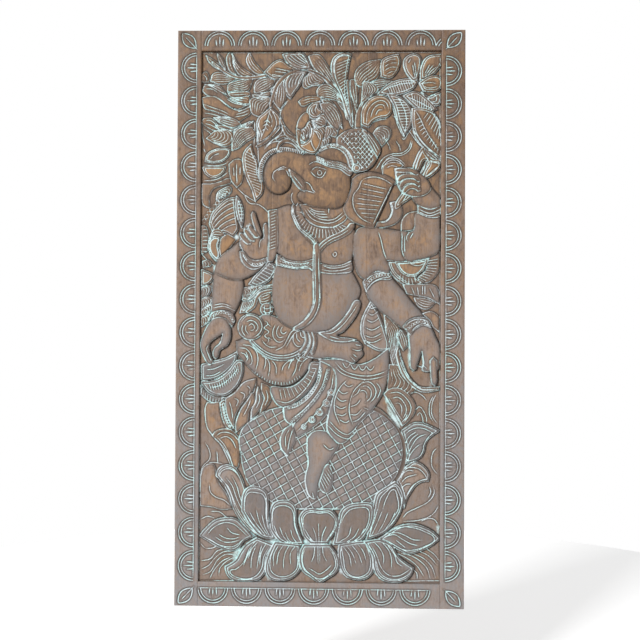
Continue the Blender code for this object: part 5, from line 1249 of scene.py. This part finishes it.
def axe_and_fist(art):
    art.form(BLADE, "418,178! 424,170 428,160.5 432,163 427,171 423,179 413,197 405,203 396,208 404,192!",
        "427,162 420,174 412,188 402,204", "430,164 424,174 415,189 407,200")
    art.form(BLADE, "424,146.5! 426,153 432,159 441,160.5! 441,167 435,174 427,179 423,180! 426,171 430,163 "
        "425,160.5 421,168 417,175 414,169 416.5,160 420,152", "424,150 421,156 418,163 416.5,170",
        "426,157 430,161.5 437,163.3 441,163.5", "438,167 431,173.5 425,178")
    art.form(ARM_FRONT, "411,190! 419,188 430,187 436,193 441,199 441,206 430,209 418,205 413,198")
    art.form(HAND,
        "396,168.5! 405,168.5 413,168.5 420,173 429,182 431,190 424,196 414,197 404,194! 399,186 397,177")
    art.sweep(FINGER, "397.5,170.8,1.6 404,170.8,2 411,170.8,2.1 417,174,1.8",
        "399.5,181.5,1.6 402,178.5,2.1 408,176.7,2.2 415,177.5,1.9 419,181,1.6",
        "401.5,187.5,1.6 404,183.8,2.1 409,181.7,2.2 415,182.5,1.9 419,185.5,1.6",
        "404.8,192.5,1.5 407,189.3,2 411.5,187,2.1 416.5,188,1.8 419.5,190.5,1.5")


def head(art):
    art.sweep(LEAF,
        "261,181,1.4 260.7,170,2 264,160,2.1 270.5,152.8,2.1 279,149.8,2.1 290,150,2 303,153.5,1.3")
    art.rungs("259.5,181 258.8,169.5 262.3,159 269.3,150.8 278.5,147.8 290.5,148 302,151.5",
        "263,181 262.8,170.5 266,161.5 271.8,155 279.5,151.8 290,152 301,155.3", 34)
    art.sweep(LEAF, "278,150,1 280,144,1.4 286,140.5,1.6 294,142.5,1.6 301,150,1.3",
        "277,139,1 284,136,1.3 293,139,1.4 299,145,1.4 304,151,1.1",
        "283,126,1 287,134,1.3 294,138,1.4 300,143,1.2")
    art.form(BLADE,
        "297,129! 301,131 301,143 308,141 312,134 312,128! 320,131 323,138 316,153 305,151 299,145",
        "313,129 317,133 320,139", "311,139 312.5,145 316,151", "304,132 304,139", "308,131 307,138")
    art.form(LEAF, "327,126! 333,128 333,133 325,140!")
    art.form(EAR, "353.5,179! 359.7,174.7 369,172.6 378.3,173.6 389,177.5 397,183! 394.5,184 384.5,206 "
        "374.5,228.3! 364.4,226.7 355,222.8 347.3,216.6 344.2,209! 347,200 350.5,193 352,187",
        "364,179.5 361.5,182.5 359,188.7 354.3,194.9 353.3,202.6 355.9,212 362.8,219.7 372.5,224.5",
        "364,179.3 371,177.6 378.3,177.8 386,180.8 393,185.5", "392.3,186 373.3,226")
    art.rungs("363,184 359.5,191.5 356.3,200 358,210 364.5,217.5", "388,190 384.5,199 380,209 375.5,219", 8)
    art.form(CHEEK, "302.5,190! 297.5,183.5 293,177.5 289.8,171! 290.5,176.2 290.9,183 288.4,189.4 "
        "282.2,193.6 276,194 270.6,191.3 266,184 264.4,174.7 267.2,164 272,156.8 279,152.8 288.4,151.7 "
        "298,153.6 306,155.5 318,155.5 330,160 341,164 350.4,174! 350.6,187 348,198 345.8,202.6 341,207.3 "
        "333.4,208.9 322.5,208 311.7,206.3 302.4,202.6 298.5,198.5 298.6,195 301.5,192 307,191!",
        "310.9,171.8 316.3,167.6 322.5,168.8 327,170.3",
        "310.9,171.8 314.5,175.8 319,178 322.8,177.3 327,170.3", "309.3,165 313.5,162.5 318.6,162")
    art.line("318,171.5 320.5,171 322,173.5 320.5,175.5 318.3,174.8 318,171.5",
        "305.5,182.5 309,184 311.5,187 313,190.5 316,193", "303,191.5 307,191.3 315,193.6")
    art.line("288,168.5 283,167.3 278.3,169.6 274.2,172.5 273,178 275.5,182.3",
        "278,171 281.5,169.5 285,169.5", "286.5,170.5 289.5,177")
    art.form(HAND,
        "289.6,169.5! 294,172.5 300,177 304,181.5 305.5,188 305,191.8! 300,188.5 295,182.5 291.5,176.5",
        "293,175.5 298,181.5 303,188", "298,203 296.5,207", "293,192 291.3,197 292.5,202 295,206")
    art.form(CHEEK,
        "317,155.5! 324,149.8 333.4,147.3 342.7,150.6 348,157.6 351,168! 341,164 330,161 322,158.5")
    art.form(BAND, "316.5,154.5! 323,147.5 333,143.8 343,146.3 350.5,153.5 354,163 353,171! 350,165.5 "
        "347.5,157 342.5,151 333.4,147.5 324,150")
    art.beads("319.5,152 326,147.3 334,145.5 343,148.6 349.2,155 352,164", 17, 0.6)
    art.form(BAND, "317.5,156.5! 325,159.5 332,161.5 341,163 349,167 353.5,172! 350.4,175.8 341,169.5 "
        "330.3,167 318.5,162!")
    art.beads("319.5,159 330,163.2 341,165.3 351,171.5", 15, 0.6)
    art.line("318.5,160.5 330,165.3 341,167.6 350.5,173.8")
    art.form(CROWN, "338,137.5! 345.8,131.5 355,128.5 362.8,128.5 370,133 378,142 381.5,150 378,158 "
        "373.7,165.4 366,171 357,172 353.5,170! 353.8,162 350,153 343,146.3 338,144")
    art.crosshatch("340,138.5 346.5,133 356,130 362.5,130.5 368.5,142 374.5,154.5 372,164 365,169.5 "
        "357,170.5 355.5,162 351.5,152 344,145", 3.3)
    art.form(BAND, "363,129.5! 371,133.5 379,142.5 381.3,150 378,157.5! 372,147 367,137.5",
        "365.5,132.5 372.5,143 377.8,153.5", "368,133.3 375,142.5 379.5,150.5")
    art.ball(CROWN, 357.3, 168.5, 4.2)
    art.inset(1.5)


DRAWINGS = (
    upper_left_leaves,
    upper_middle_leaves,
    upper_right_leaves,
    left_side_leaves,
    waist_leaves,
    beside_the_ear,
    below_the_arm,
    lower_right_leaves,
    lower_left_leaves,
    seed_pod,
    upper_petals,
    lower_petals,
    cloth_and_legs,
    arms_and_body,
    axe_and_fist,
    head,
)


def field_edges(art):
    """Wash and painted shade along the foot of the frame, all round the field; the pale sills are partly a
    painted highlight on the bottom edge that faces up.
    """
    sides = (((198.9, 54), (199.6, 140), (199.2, 300), (198.9, 470), (198.2, 578)),
             ((440.6, 54), (440.8, 200), (440.6, 400), (440.4, 578)), ((200, 51.5), (300, 51.2), (438, 51.0)))
    sills = ((200, 582), (262, 582.6)), ((404, 582.8), (440, 582.5))
    for lines, style in ((sides, SIDE_STROKE), (sills, SILL_WASH_AND_HIGHLIGHT)):
        art.strokes([on_panel(np.array(line)) for line in lines], style, taper=SHORT_TAPER)


# Stains by kind: corners left, top, right and bottom of upright patches, or a patch's own path
WASH_STAINS = (
    "243,228 250,223 251,226 246,229", (230, 235, 239, 240), (212, 266, 217, 300), (209, 306, 213, 330),
    (262, 301, 272, 305), (408.5, 330, 411.5, 370),
    "385,393 389.5,405 394.5,413 398.5,421 401.5,429.5 398,430.5 392.5,422 388,414.5 386.5,406",
    (412, 368, 415, 374), (430, 372, 433, 389), (437, 527, 441, 536), (233, 550, 242, 570),
    (266, 550, 272, 582), (338, 550, 345, 575), (374, 560, 378, 575), (255, 541.5, 375, 546),
    (301, 144, 315, 152),
)
BARE_STAINS = (
    (207, 210, 211, 217), (246, 247, 256, 254), (245, 290, 250, 308), (395, 498, 405, 530),
    "305,206 348,206 344,226 322,227 306,219", "402,294 408,292 420,312 416,314",
)


def stains(art):
    """Patches of wash and of bare timber in the hollows between the forms."""
    for wash, bare, patches in ((STAIN_WASH, 0, WASH_STAINS), (0, STAIN_BARE, BARE_STAINS)):
        for patch in patches:
            if isinstance(patch, str):
                corners, _ = read_path(patch)
            else:
                left, top, right, bottom = patch
                corners = np.array([[left, top], [right, top], [right, bottom], [left, bottom]], float)
            outline = smooth(corners, np.zeros(len(corners), bool), True)
            art.cuts.append(Stain(on_panel(outline), wash, bare))


def field_carving():
    """The whole drawing of the field, from the ground up."""
    art = Carving()
    for draw in DRAWINGS:
        draw(art)
    field_edges(art)
    stains(art)
    return art


def arc(centre, across, along, radius):
    """A half circle that bulges outward from a straight side: centre + radius * (cos a, sin a)."""
    turn = np.linspace(-np.pi / 2, np.pi / 2, ARC_STEPS)[:, None]
    return centre + (np.cos(turn) * across + np.sin(turn) * along) * radius


# What is left of one more scallop at the top rail's right end
CUT_OFF_SCALLOP = ("436,46 438,42 441.5,38", "438.8,46 440.3,43.3 442.3,41")


def scallops(art, places, straight, across, along):
    """A row of scallops: a sunk darker band between two arcs, and three strokes from the straight side."""
    first, last, count = places
    centres = [straight + along * place for place in np.linspace(first, last, count)]
    inner = SCALLOP_RADIUS - SCALLOP_BAND
    bands = [arc(centre, across, along, (SCALLOP_RADIUS + inner) / 2) for centre in centres]
    art.strokes(bands, BAND_STROKE, dirt=1.0, taper=NO_TAPER)
    arcs = [arc(centre, across, along, radius) for centre in centres for radius in (SCALLOP_RADIUS, inner)]
    art.strokes(arcs, ARC_STROKE, taper=NO_TAPER)
    rays = [np.vstack([centre + along * side - across * RAY_START,
                       centre + along * side * RAY_SPREAD + across * reach])
            for centre in centres for side, reach in RAYS]
    art.strokes(rays, RAY_STROKE, taper=RAY_TAPER)
    if across[1] > 0:
        art.line(*CUT_OFF_SCALLOP)
        return
    ends = straight + along * first, straight + along * last
    reach = along * SCALLOP_RADIUS * np.sign(last - first)
    art.strokes([np.vstack([ends[0] - reach, ends[1] + reach])], STRAIGHT_STROKE, taper=SHORT_TAPER)


def corner_leaf(art, tip, base):
    """A pointed leaf sunk in a stile's end: its half width is sin(pi * u)^0.85 along its stem."""
    stem = base - tip
    side = np.array([-stem[1], stem[0]]) * LEAF_FULLNESS
    way = np.linspace(0, 1, LEAF_POINTS)[1:-1, None]
    middle = tip + stem * way
    bulge = side * np.sin(np.pi * way) ** LEAF_SHOULDER
    outline = np.vstack([tip, middle + bulge, base, (middle - bulge)[::-1], tip])
    art.strokes([outline], LEAF_STROKE, taper=NO_TAPER)
    start, past = STALK_ENDS
    art.strokes([np.vstack([tip + stem * start, base + stem * past])], STALK_STROKE)


def frame_carving():
    """The scalloped borders of the four members and the leaves at the stiles' ends."""
    art = Carving()
    wide, tall = PANEL_WIDTH / 2, PANEL_HEIGHT / 2
    straight = wide - STILE_WIDTH + FILLET_WIDTH
    right, up = np.array([1.0, 0.0]), np.array([0.0, 1.0])
    for out, places in ((-1, LEFT_SCALLOPS), (1, RIGHT_SCALLOPS)):
        scallops(art, places, right * out * straight, right * out, up)
        for way in (1, -1):
            corner = np.array([out, way])
            tip = corner * (wide, tall) - corner * LEAF_PLACE
            corner_leaf(art, tip, tip - corner * LEAF_SPAN)
    scallops(art, TOP_SCALLOPS, up * (tall - TOP_RAIL_WIDTH + FILLET_WIDTH), up, right)
    bottom = -tall + BOTTOM_RAIL_WIDTH - FILLET_WIDTH - BOTTOM_FILLET_SHIFT
    scallops(art, BOTTOM_SCALLOPS, up * bottom, -up, right)
    return art


def ripple(points, size):
    """Shallow gouge marks: a sum of slanting waves whose crests bend, in metres."""
    x, z = points[..., 0] / RIPPLE_LENGTHS[0], points[..., 1] / RIPPLE_LENGTHS[1]
    wave = np.sin(x + 1.7 * np.sin(0.6 * z + 0.4)) * np.sin(0.9 * z + 1.3 * np.sin(0.45 * x))
    fine = np.sin(2.7 * x + 0.8 * z) * np.sin(1.9 * z - 1.1 * x)
    return size * (0.7 * wave + 0.3 * fine)


def shaped(face, art, sizes, edge_drop):
    """Cuts a face twice, then rounds its edges and adds the gouge's ripples."""
    for cut in art.cuts:
        cut.cut(face, sizes)
    face.settle()
    for cut in art.cuts:
        cut.cut(face, sizes)
    height = np.pad(face.height, 1, mode="edge")
    around = np.stack([height[i:i + face.height.shape[0], j:j + face.height.shape[1]]
                       for i in range(3) for j in range(3)])
    # steep: painted shade on steep walls, by how far the heights around a point spread
    face.steep = np.clip((around.max(axis=0) - around.min(axis=0) - STEEP_FROM) / STEEP_SPAN, 0, 1)
    edge = np.minimum(face.points - face.corner, face.far - face.points).min(axis=2)
    face.height -= edge_drop * np.clip(1 - edge / EDGE_REACH, 0, 1) ** 2
    face.height += ripple(face.points, sizes.tool_marks)


def face_mesh(name, face, material):
    """A closed block under a carved face: each cell is two triangles, split between the corners that are
    closer in height, and the four sides and the back are one face each."""
    rows, columns = face.height.shape
    front = np.column_stack([face.points[..., 0].ravel(), -(THICKNESS - GROUND_DEPTH) - face.height.ravel(),
                             face.points[..., 1].ravel()])
    (left, low), (right, high) = face.corner, face.far
    back = np.array([[left, 0, low], [right, 0, low], [right, 0, high], [left, 0, high]])
    number = np.arange(rows * columns).reshape(rows, columns)
    low_row, high_row = number[:-1], number[1:]
    quads = (low_row[:, :-1], low_row[:, 1:], high_row[:, 1:], high_row[:, :-1])
    a, b, c, d = (corner.ravel() for corner in quads)
    height = face.height.ravel()
    split = (np.abs(height[a] - height[c]) <= np.abs(height[b] - height[d]))[:, None]
    first = np.where(split, np.column_stack([a, b, c]), np.column_stack([a, b, d]))
    second = np.where(split, np.column_stack([a, c, d]), np.column_stack([b, c, d]))
    lower_left, lower_right, upper_right, upper_left = rows * columns + np.arange(4)
    sides = (
        np.append(number[0, ::-1], (lower_left, lower_right)),
        np.append(number[::-1, -1], (lower_right, upper_right)),
        np.append(number[-1], (upper_right, upper_left)),
        np.append(number[:, 0], (upper_left, lower_left)),
        np.array([lower_left, upper_left, upper_right, lower_right]),
    )
    loops = np.concatenate([np.vstack([first, second]).ravel(), *sides])
    sizes = np.concatenate([np.full(2 * len(a), 3), [len(side) for side in sides]])
    mesh = bpy.data.meshes.new(name)
    mesh.vertices.add(len(front) + 4)
    mesh.vertices.foreach_set("co", np.vstack([front, back]).astype(np.float32).ravel())
    mesh.loops.add(len(loops))
    mesh.loops.foreach_set("vertex_index", loops.astype(np.int32))
    mesh.polygons.add(len(sizes))
    mesh.polygons.foreach_set("loop_start", np.concatenate([[0], np.cumsum(sizes)[:-1]]).astype(np.int32))
    mesh.update(calc_edges=True)
    for layer, rear in (("wash", 0), ("film", BACK_FILM), ("bare", 0), ("steep", 0), ("dark", 0)):
        values = np.append(getattr(face, layer).ravel(), [rear] * 4).astype(np.float32)
        mesh.attributes.new(layer, "FLOAT", "POINT").data.foreach_set("value", values)
    mesh.shade_smooth()
    mesh.set_sharp_from_angle(angle=SHARP_ANGLE)
    mesh.materials.append(material)
    if mesh.validate():
        raise RuntimeError(f"{name}: the mesh had faults")
    piece = bpy.data.objects.new(name, mesh)
    bpy.context.scene.collection.objects.link(piece)
    return piece


class Finish:
    """Builds a material's nodes: each method adds one node and returns its output."""

    def __init__(self, name):
        self.material = bpy.data.materials.new(name)
        self.material.use_nodes = True
        self.tree = self.material.node_tree
        self.shader = self.tree.nodes["Principled BSDF"]
        self.place = self.tree.nodes.new("ShaderNodeTexCoord").outputs["Object"]

    def feed(self, value, socket):
        if isinstance(value, bpy.types.NodeSocket):
            self.tree.links.new(value, socket)
        elif hasattr(socket.default_value, "__len__") and len(socket.default_value) == 4:
            socket.default_value = (*value, 1)
        else:
            socket.default_value = value

    def layer(self, name):
        node = self.tree.nodes.new("ShaderNodeAttribute")
        node.attribute_name = name
        return node.outputs["Fac"]

    def noise(self, stretch, detail, roughness, distortion):
        mapping = self.tree.nodes.new("ShaderNodeMapping")
        mapping.inputs["Scale"].default_value = stretch
        self.tree.links.new(self.place, mapping.inputs["Vector"])
        node = self.tree.nodes.new("ShaderNodeTexNoise")
        node.inputs["Scale"].default_value = 1.0
        node.inputs["Detail"].default_value = detail
        node.inputs["Roughness"].default_value = roughness
        node.inputs["Distortion"].default_value = distortion
        self.tree.links.new(mapping.outputs["Vector"], node.inputs["Vector"])
        return node.outputs["Fac"]

    def depth(self):
        """How far a place lies under the panel's centre, in metres."""
        node = self.tree.nodes.new("ShaderNodeSeparateXYZ")
        self.tree.links.new(self.place, node.inputs[0])
        return self.times(node.outputs["Z"], -1.0)

    def spread_about(self, noise, size):
        """A noise's swing to both sides of nought, times a size."""
        return self.times(self.sums("SUBTRACT", noise, 0.5), size)

    def plus(self, a, b):
        return self.sums("ADD", a, b)

    def times(self, a, b):
        return self.sums("MULTIPLY", a, b)

    def sums(self, operation, a, b):
        node = self.tree.nodes.new("ShaderNodeMath")
        node.operation = operation
        self.feed(a, node.inputs[0])
        self.feed(b, node.inputs[1])
        return node.outputs[0]

    def step(self, value, low, high, to_low=0.0, to_high=1.0):
        node = self.tree.nodes.new("ShaderNodeMapRange")
        node.interpolation_type = "SMOOTHSTEP"
        for socket, given in (("Value", value), ("From Min", low), ("From Max", high),
                              ("To Min", to_low), ("To Max", to_high)):
            self.feed(given, node.inputs[socket])
        return node.outputs["Result"]

    def mix(self, share, a, b):
        node = self.tree.nodes.new("ShaderNodeMix")
        node.data_type = "RGBA"
        for socket, given in ((0, share), (6, a), (7, b)):
            self.feed(given, node.inputs[socket])
        return node.outputs[2]


def washed_timber(name, colours, film_shift, age):
    """Timber under a worn wash. Fine upright streaks carry the grain; a thin film greys the high faces by
    the film layer, broad noise and how low the place is; the shade colour darkens it by the dark layer, which
    holds painted shade and darker bands, ground and leaf tones, and by the steep layer, painted shade on
    steep walls; and the wash fills what the wash layer marks, broken by fine noise."""
    finish = Finish(name)
    noises = (STREAKS, THREADS, BROAD, PATCHES, MOTTLE, SPECKS)
    streaks, threads, broad, patches, mottle, specks = (finish.noise(*noise) for noise in noises)
    grain = finish.plus(finish.times(streaks, 0.6), finish.times(threads, 0.4))
    lightness = finish.step(finish.plus(grain, finish.spread_about(patches, 0.8)), *LIGHT_GRAIN)
    timber = finish.mix(lightness, tuple(colours.dark_grain), tuple(colours.light_grain))
    timber = finish.mix(finish.step(patches, *WARM_PATCHES), timber, tuple(colours.bare_timber))
    # Darker timber towards the top and in mottled patches
    upper = finish.step(finish.depth(), *DARKER_TOP)
    darkened = finish.plus(finish.step(mottle, 0.38, 0.74, age, 0.45 + age), finish.times(upper, age))
    timber = finish.mix(darkened, timber, tuple(colours.dark_grain))
    low = finish.step(finish.depth(), *FILM_RISE)
    film = finish.plus(finish.layer("film"), finish.plus(low, film_shift))
    film = finish.plus(film, finish.spread_about(broad, 0.8))
    cool = finish.step(finish.plus(film, finish.spread_about(patches, 1.6)), *COOL_FILM)
    film_colour = finish.mix(cool, tuple(colours.warm_film), tuple(colours.cool_film))
    rubbed = finish.plus(film, finish.plus(finish.spread_about(grain, 0.7), finish.spread_about(mottle, 1.7)))
    colour = finish.mix(finish.step(rubbed, *FILM_COVER), timber, film_colour)
    high = finish.step(finish.depth(), *BARE_ABOVE)
    bare = finish.times(finish.times(finish.layer("bare"), high), finish.step(mottle, *BARE_BREAKS))
    colour = finish.mix(bare, colour, tuple(colours.bare_timber))
    # Painted shade and darker tones by the dark layer, broken by patches, then painted shade on steep walls
    dirt = finish.times(finish.layer("dark"), finish.step(patches, *DARK_BREAKS))
    colour = finish.mix(dirt, colour, tuple(colours.shade))
    colour = finish.mix(finish.times(finish.layer("steep"), 0.6), colour, tuple(colours.shade))
    worn = finish.plus(finish.spread_about(specks, 0.9), finish.spread_about(patches, 1.9))
    wash = finish.layer("wash")
    filled = finish.step(finish.plus(wash, finish.times(worn, wash)), *WASH_FILLS)
    pale = finish.mix(finish.step(broad, *WASH_TURNS), tuple(colours.wash), tuple(colours.lilac_wash))
    colour = finish.mix(filled, colour, pale)
    finish.feed(colour, finish.shader.inputs["Base Color"])
    finish.feed(finish.step(grain, *GRAIN_ROUGHNESS), finish.shader.inputs["Roughness"])
    finish.shader.inputs["Specular IOR Level"].default_value = 0.35
    bump = finish.tree.nodes.new("ShaderNodeBump")
    bump.inputs["Strength"].default_value = 0.25
    bump.inputs["Distance"].default_value = 0.0010
    finish.feed(grain, bump.inputs["Height"])
    finish.feed(bump.outputs["Normal"], finish.shader.inputs["Normal"])
    return finish.material


def place_piece(name, node, face, material):
    """Makes a member's block, and lets it stand for its node."""
    piece = face_mesh(name, face, material)
    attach(piece, "root")
    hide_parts(node)


class PANEL_OT_field(bpy.types.Operator):
    """Carve the three boards of the field"""
    bl_idname = "carved_panel.field"
    bl_label = "Carve the field"

    def execute(self, context):
        sizes, colours = context.scene.carving_sizes, context.scene.wash_colours
        art = field_carving()
        material = washed_timber("washed_field_timber", colours, 0.0, 0.0)
        for node in ("left_board", "centre_board", "right_board"):
            face = Face(node, sizes.field_cell, 0.0, GROUND_FILM)
            shaped(face, art, sizes, JOINT_DROP)
            place_piece(node + "_carving", node, face, material)
        return {"FINISHED"}


class PANEL_OT_frame(bpy.types.Operator):
    """Cut the frame's four members with their scalloped borders"""
    bl_idname = "carved_panel.frame"
    bl_label = "Cut the frame"

    def execute(self, context):
        sizes, colours = context.scene.carving_sizes, context.scene.wash_colours
        art = frame_carving()
        material = washed_timber("washed_frame_timber", colours, 0.12, 0.3)
        for node in ("left_stile", "right_stile", "top_rail", "bottom_rail"):
            face = Face(node, sizes.frame_cell, GROUND_DEPTH, FRAME_FILM)
            shaped(face, art, sizes, FRAME_DROP)
            place_piece(node + "_border", node, face, material)
        return {"FINISHED"}


class PANEL_OT_stage(bpy.types.Operator):
    """Set the floor, the room's light, the lamp and the camera"""
    bl_idname = "carved_panel.stage"
    bl_label = "Set the stage"

    def execute(self, context):
        stage, scene = context.scene.stage_settings, context.scene
        scene.view_settings.view_transform = "Standard"
        self.room(scene, stage)
        self.floor(scene, stage)
        lamp = bpy.data.lights.new("key_lamp", "AREA")
        lamp.energy = stage.key_power
        lamp.size = stage.key_size
        key = bpy.data.objects.new("key_lamp", lamp)
        key.location = KEY_PLACE
        key.rotation_euler = (-Vector(KEY_PLACE)).to_track_quat("-Z", "Y").to_euler()
        scene.collection.objects.link(key)
        lens = bpy.data.cameras.new("camera")
        lens.lens = stage.camera_lens
        camera = bpy.data.objects.new("camera", lens)
        camera.location = stage.camera_place
        camera.rotation_euler = stage.camera_turn
        scene.collection.objects.link(camera)
        scene.camera = camera
        return {"FINISHED"}

    def room(self, scene, stage):
        """A white room behind the panel that grows dimmer towards the front."""
        world = bpy.data.worlds.new("studio")
        scene.world = world
        world.use_nodes = True
        nodes, links = world.node_tree.nodes, world.node_tree.links
        direction = nodes.new("ShaderNodeTexCoord")
        split = nodes.new("ShaderNodeSeparateXYZ")
        links.new(direction.outputs["Generated"], split.inputs[0])
        dimming = nodes.new("ShaderNodeMapRange")
        for socket, value in (("From Min", -ROOM_FADE), ("From Max", ROOM_FADE),
                              ("To Min", stage.front_light), ("To Max", stage.back_light)):
            dimming.inputs[socket].default_value = value
        links.new(split.outputs["Y"], dimming.inputs["Value"])
        background = nodes["Background"]
        background.inputs["Color"].default_value = WHITE
        links.new(dimming.outputs["Result"], background.inputs["Strength"])

    def floor(self, scene, stage):
        """A round pale floor under the panel."""
        turn = np.linspace(0, 2 * np.pi, FLOOR_STEPS, endpoint=False)
        level = np.full(FLOOR_STEPS, -PANEL_HEIGHT / 2 - stage.floor_drop)
        rim = np.column_stack([FLOOR_RADIUS * np.cos(turn), FLOOR_RADIUS * np.sin(turn), level])
        mesh = bpy.data.meshes.new("floor")
        mesh.from_pydata(rim.tolist(), [], [list(range(FLOOR_STEPS))])
        material = bpy.data.materials.new("pale_floor")
        material.use_nodes = True
        shader = material.node_tree.nodes["Principled BSDF"]
        shader.inputs["Base Color"].default_value = PALE
        shader.inputs["Roughness"].default_value = 0.9
        shader.inputs["Emission Color"].default_value = WHITE
        shader.inputs["Emission Strength"].default_value = FLOOR_GLOW
        mesh.materials.append(material)
        floor = bpy.data.objects.new("floor", mesh)
        scene.collection.objects.link(floor)


class PANEL_PT_sidebar(bpy.types.Panel):
    """Buttons and sizes for the carved panel."""
    bl_idname = "PANEL_PT_sidebar"
    bl_label = "Carved wall panel"
    bl_space_type = "VIEW_3D"
    bl_region_type = "UI"
    bl_category = "Panel"

    def draw(self, context):
        for operator in OPERATORS:
            self.layout.operator(operator.bl_idname)
        for group in ("carving_sizes", "wash_colours", "stage_settings"):
            settings = getattr(context.scene, group)
            for name in settings.bl_rna.properties.keys():
                if name not in ("rna_type", "name"):
                    self.layout.prop(settings, name)


GROUPS = (("carving_sizes", CarvingSizes), ("wash_colours", WashColours), ("stage_settings", StageSettings))
OPERATORS = (PANEL_OT_field, PANEL_OT_frame, PANEL_OT_stage)


def register():
    for name, group in GROUPS:
        bpy.utils.register_class(group)
        setattr(bpy.types.Scene, name, PointerProperty(type=group))
    for kind in (*OPERATORS, PANEL_PT_sidebar):
        bpy.utils.register_class(kind)


def unregister():
    for kind in reversed((*OPERATORS, PANEL_PT_sidebar)):
        bpy.utils.unregister_class(kind)
    for name, group in reversed(GROUPS):
        delattr(bpy.types.Scene, name)
        bpy.utils.unregister_class(group)


def main():
    register()
    bpy.ops.carved_panel.field()
    bpy.ops.carved_panel.frame()
    bpy.ops.carved_panel.stage()


if __name__ == "__main__":
    main()
